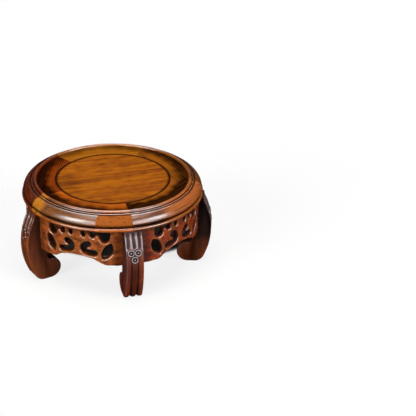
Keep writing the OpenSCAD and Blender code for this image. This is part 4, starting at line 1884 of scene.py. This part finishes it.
@dataclass
class Studio:
    """The camera, the soft lamps, a dim room and a white floor."""

    camera_at: tuple[float, float, float] = (-218.7, -1078.1, 629.1)
    camera_aim: tuple[float, float, float] = (0.2597, 0.8493, -0.4596)
    camera_roll: float = 1.73
    lens: float = 95.19
    sensor: float = 36.0
    clip_end: float = 100.0
    lamps: tuple[Lamp, ...] = (
        Lamp("left_softbox", -50.0, 24.0, 26.0, 2.2),
        Lamp("right_softbox", 58.0, 26.0, 24.0, 1.7),
        Lamp("overhead_softbox", 0.0, 84.0, 50.0, 1.7),
        Lamp("left_card", -42.0, 14.0, 54.0, 5.4, Reach.SHEEN),
        Lamp("right_card", 42.0, 10.0, 52.0, 6.6, Reach.SHEEN),
        Lamp("back_card", 180.0, 54.0, 26.0, 2.6, Reach.SHEEN),
        Lamp("overhead_card", 0.0, 80.0, 26.0, 1.6, Reach.SHEEN),
    )
    room_color: str = "#f4f4f4"
    room_strength: float = 0.03
    floor_half: float = 9000.0
    floor_color: str = "#f7f7f5"
    floor_bounce: str = "#9a9a98"
    floor_glow: float = 0.8
    floor_shade: str = "#3c3c3a"
    # Discs of painted shadow on the floor under the stand
    shadow_discs: tuple[ShadowDisc, ...] = (ShadowDisc(30.0, 110.0, 118.0, 128.0), ShadowDisc(0.0, 0.0, 96.0, 122.0))

    def build(self) -> None:
        """Make the camera, the lights, the world and the floor."""
        scene = bpy.context.scene
        scene.view_settings.view_transform = "Standard"
        scene.camera = self.camera()
        self.light()
        self.room(scene)
        self.floor()

    def camera(self) -> bpy.types.Object:
        """Make the camera at the photograph's viewing angle.

        Returns:
            The camera.
        """
        data = bpy.data.cameras.new("camera")
        data.lens, data.sensor_width = self.lens, self.sensor
        data.clip_end = self.clip_end
        aim = Vector(self.camera_aim).normalized()
        right = aim.cross(Vector((0.0, 0.0, 1.0))).normalized()
        up = right.cross(aim)
        roll = math.radians(self.camera_roll)
        x = math.cos(roll) * right + math.sin(roll) * up
        y = math.cos(roll) * up - math.sin(roll) * right
        turn = Matrix((x, y, -aim)).transposed().to_4x4()
        made = bpy.data.objects.new("camera", data)
        made.matrix_world = Matrix.Translation(Vector(self.camera_at) * MM) @ turn
        bpy.context.scene.collection.objects.link(made)
        return made

    def light(self) -> None:
        """Set up the lamps."""
        towards = math.atan2(self.camera_at[1], self.camera_at[0])
        for lamp in self.lamps:
            azimuth, rise = towards + math.radians(lamp.turn), math.radians(lamp.rise)
            flat = math.cos(rise)
            out = Vector((math.cos(azimuth) * flat, math.sin(azimuth) * flat, math.sin(rise)))
            data = bpy.data.lights.new(lamp.name, "SUN")
            data.energy, data.angle = lamp.strength, math.radians(lamp.spread)
            made = bpy.data.objects.new(lamp.name, data)
            made.rotation_euler = out.to_track_quat("Z", "Y").to_euler()
            made.visible_diffuse = lamp.reach is Reach.ALL
            bpy.context.scene.collection.objects.link(made)

    def room(self, scene: bpy.types.Scene) -> None:
        """Surround the stand with a dim, even room.

        Args:
            scene: The scene.
        """
        world = bpy.data.worlds.new("studio_room")
        world.use_nodes = True
        tree = world.node_tree
        tree.nodes.clear()
        inputs = {"Color": srgb(self.room_color), "Strength": self.room_strength}
        light = add_node(tree, "ShaderNodeBackground", inputs)
        add_node(tree, "ShaderNodeOutputWorld", {"Surface": light.outputs["Background"]})
        scene.world = world

    def floor(self) -> None:
        """Lay the white floor, which keeps the stand's shadow and has a painted shadow where the stand closes
        it in.
        """
        half = self.floor_half * MM
        mesh = bpy.data.meshes.new("floor")
        corners = [(-half, -half, 0.0), (half, -half, 0.0), (half, half, 0.0), (-half, half, 0.0)]
        mesh.from_pydata(corners, [], [(0, 1, 2, 3)])
        material = bpy.data.materials.new("White_studio_paper")
        material.use_nodes = True
        tree = material.node_tree
        tree.nodes.clear()
        place = add_node(tree, "ShaderNodeTexCoord").outputs["Object"]
        steps = []
        for shadow_disc in self.shadow_discs:
            inputs = {0: place, 1: (shadow_disc.x * MM, shadow_disc.y * MM, 0.0)}
            away = add_node(tree, "ShaderNodeVectorMath", inputs, operation="DISTANCE").outputs["Value"]
            steps.append(SoftStep(away, (shadow_disc.dark_r * MM, shadow_disc.light_r * MM), 1.0, 0.0))
        # Where the discs overlap a shadow is painted in the floor_shade colour, and the floor's glow fades
        # there
        closed = soft_mask(tree, steps)
        path = add_node(tree, "ShaderNodeLightPath")
        seen = path.outputs["Is Camera Ray"]
        layers = (
            (path.outputs["Is Diffuse Ray"], self.floor_bounce),
            (seen, self.floor_color),
            (closed, self.floor_shade),
        )
        tone: Any = (0.0, 0.0, 0.0, 1.0)
        for mask, code in layers:
            inputs = {0: mask, 6: tone, 7: srgb(code)}
            tone = add_node(tree, "ShaderNodeMix", inputs, data_type="RGBA").outputs[2]
        bare = add_node(tree, "ShaderNodeMath", {0: 1.0, 1: closed}, operation="SUBTRACT").outputs[0]
        share = bare
        for factor in (bare, bare, seen, self.floor_glow):
            share = add_node(tree, "ShaderNodeMath", {0: share, 1: factor}, operation="MULTIPLY").outputs[0]
        matt = add_node(tree, "ShaderNodeBsdfDiffuse", {"Color": tone}).outputs["BSDF"]
        inputs = {"Color": (1.0, 1.0, 1.0, 1.0), "Strength": 1.0}
        glow = add_node(tree, "ShaderNodeEmission", inputs).outputs["Emission"]
        mixed = add_node(tree, "ShaderNodeMixShader", {0: share, 1: matt, 2: glow})
        add_node(tree, "ShaderNodeOutputMaterial", {"Surface": mixed.outputs["Shader"]})
        mesh.materials.append(material)
        made = bpy.data.objects.new("floor", mesh)
        bpy.context.scene.collection.objects.link(made)


def frame_finishes() -> list[WoodFinish]:
    """Mix the finishes of the frame's five boards, which differ as cuts from several logs do.

    Returns:
        The finishes in the segments' order.
    """
    tones = (
        ("front_right", "#8a481c", "#5a2810", "#2a1008", "#9a5412"),
        ("right", "#824418", "#5c2a0f", "#301409", "#9c5812"),
        ("back", "#b06c1e", "#8c4c12", "#4a220a", "#a66214"),
        ("left", "#7e300c", "#541c07", "#260d05", "#8a3c0e"),
        ("front_left", "#945828", "#643a1a", "#2a150b", "#c45e14"),
    )
    patches = {
        "front_right": (Patch(-30.0, 90.0, 20.0, "#b8642c", 0.9, 12.0),),
        "front_left": (
            Patch(-80.0, -38.0, 9.0, "#c87e20", 0.9, 12.0),
            Patch(22.0, 90.0, 1.4, "#a85a22", 0.92, 2.0, dull=(86.2, 97.1)),
        ),
    }
    return [
        WoodFinish(
            name=f"Waxed_rosewood_{place}",
            pale=pale,
            mid=mid,
            dark=dark,
            # The grime colour is the field's dirt and the painted shade on the field, the moulding's foot and
            # the hidden sides
            grime_and_shade="#140703",
            rubbed_and_sheen=rubbed_and_sheen,
            patches=patches.get(place, ()),
        )
        for place, pale, mid, dark, rubbed_and_sheen in tones
    ]


def panel_finish() -> WoodFinish:
    """Mix the finish of the panel, a plainer and yellower board than the frame.

    Returns:
        The finish.
    """
    return WoodFinish(
        name="Waxed_rosewood_panel",
        pale="#b8670f",
        mid="#934a08",
        dark="#5a2606",
        # The grime colour is the painted shadow of the gap at the edge and the painted shade underneath
        grime_and_shade="#1c0b05",
        rubbed_and_sheen="#b8742a",
        streak=7.0,
        streak_length=130.0,
        line=2.6,
        line_strength=0.75,
        blotch=8.0,
        rough_low=0.18,
        rough_high=0.26,
        coat=0.0,
        shine=0.05,
        smudges=(
            Smudge(-46.0, -3.0, 16.0, 5.0, 0.55),
            Smudge(-58.0, 4.0, 40.0, 50.0, 0.5),
            Smudge(-4.0, 38.0, 9.0, 3.0, 0.95),
            Smudge(48.0, -12.0, 18.0, 3.0, 0.5),
        ),
    )


def leg_finishes() -> list[WoodFinish]:
    """Mix the finishes of the legs, stained darker and redder than the frame.

    Returns:
        The finishes in the legs' order.
    """
    # Each leg's third tone is its dirt and painted shade and its fourth a grey-mauve painted sheen with the
    # wear; the second leg's near-black shade and lighter foot, and the fifth leg's lighter shade and duller
    # sheen, are painted for how the lamps fall on each
    tones = (
        ("#943e1c", "#702c14", "#221416", "#867678"),
        ("#a04a1a", "#7c3810", "#060202", "#7e6c6a"),
        ("#7c3c18", "#5e2e11", "#160a06", "#7e6c6a"),
        ("#7a3c1a", "#5c2e12", "#160a06", "#7e6c6a"),
        ("#a45024", "#843e18", "#40251a", "#4e3c36"),
    )
    finishes = [
        WoodFinish(
            name=f"Waxed_carved_rosewood_leg_{number}",
            pale=pale,
            mid=mid,
            dark="#28110a",
            grime_and_shade=grime_and_shade,
            rubbed_and_sheen=rubbed_and_sheen,
            streak=9.0,
            line_strength=0.12,
            rough_low=0.26,
            rough_high=0.36,
            coat=0.1,
            shine=0.4,
            tool_height=0.14,
        )
        for number, (pale, mid, grime_and_shade, rubbed_and_sheen) in enumerate(tones, start=1)
    ]
    # A painted shade makes the right leg, the second, almost black above its foot
    floor = 2 * CarvedLeg.board_pitch[0]
    painted_shade = Patch(floor + 24.0, floor + 140.0, 12.0, "#080302", 0.85, 4.0)
    finishes[1] = replace(finishes[1], patches=(painted_shade,))
    return finishes


def apron_finishes() -> list[WoodFinish]:
    """Mix the finishes of the aprons, an orange-red wood with dark ends.

    Returns:
        The finishes in the aprons' order.
    """
    # The third tone darkens the ends and is the painted shade in the holes, on the hidden back and under the
    # ring
    tones = (
        ("#b84c20", "#983414", "#4a3234"),
        ("#a8541e", "#843616", "#1e0d08"),
        ("#aa581e", "#863a14", "#1e0d08"),
        ("#a6521e", "#823412", "#1e0d08"),
        ("#c86a2a", "#a04a18", "#3c1c10"),
    )
    return [
        WoodFinish(
            name=f"Waxed_pierced_rosewood_apron_{number}",
            pale=pale,
            mid=mid,
            dark="#4a1c0c",
            grime_and_shade=grime_and_shade,
            rubbed_and_sheen="#c07a44",
            streak=5.0,
            streak_length=11.0,
            line_strength=0.3,
            blotch=7.0,
            blotch_strength=0.75,
            rough_low=0.20,
            coat=0.5,
            tool_height=0.2,
        )
        for number, (pale, mid, grime_and_shade) in enumerate(tones, start=1)
    ]


def main() -> None:
    """Dress the stand over its CAD frame, piece by piece."""
    logging.basicConfig(level=logging.INFO, format="%(message)s")
    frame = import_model()
    Studio().build()
    # The field bands are dirt and painted shade of the rim, which starts further in on the front segments
    soils_and_shade = (
        FieldDirtAndShade((1.4, 1.15), (66.0, 71.0)),
        FieldDirtAndShade((1.1, 0.8), (71.0, 75.0)),
        FieldDirtAndShade((0.65, 0.65), (76.0, 76.0)),
        FieldDirtAndShade((1.0, 1.35), (73.0, 71.0)),
        FieldDirtAndShade((1.15, 1.0), (69.5, 72.5)),
    )
    RingFrame().build(frame_finishes(), soils_and_shade)
    FloatingPanel().build(panel_finish())
    CarvedLeg().build(leg_finishes())
    PiercedApron().build(apron_finishes())
    tongue = WoodFinish(
        name="Planed_rosewood_tongue",
        pale="#7a4524",
        mid="#5c3018",
        dark="#34180c",
        grime_and_shade="#34180c",
        rubbed_and_sheen="#7a4524",
        coat=0.0,
        rough_low=0.5,
        rough_high=0.65,
        grain=GrainSource.OBJECT,
    )
    peg = replace(tongue, name="Split_bamboo_peg", pale="#d2b06c", mid="#c09a54", dark="#94703a", streak=0.8)
    HiddenJoinery().dress(frame["nodes"], tongue, peg)


if __name__ == "__main__":
    main()
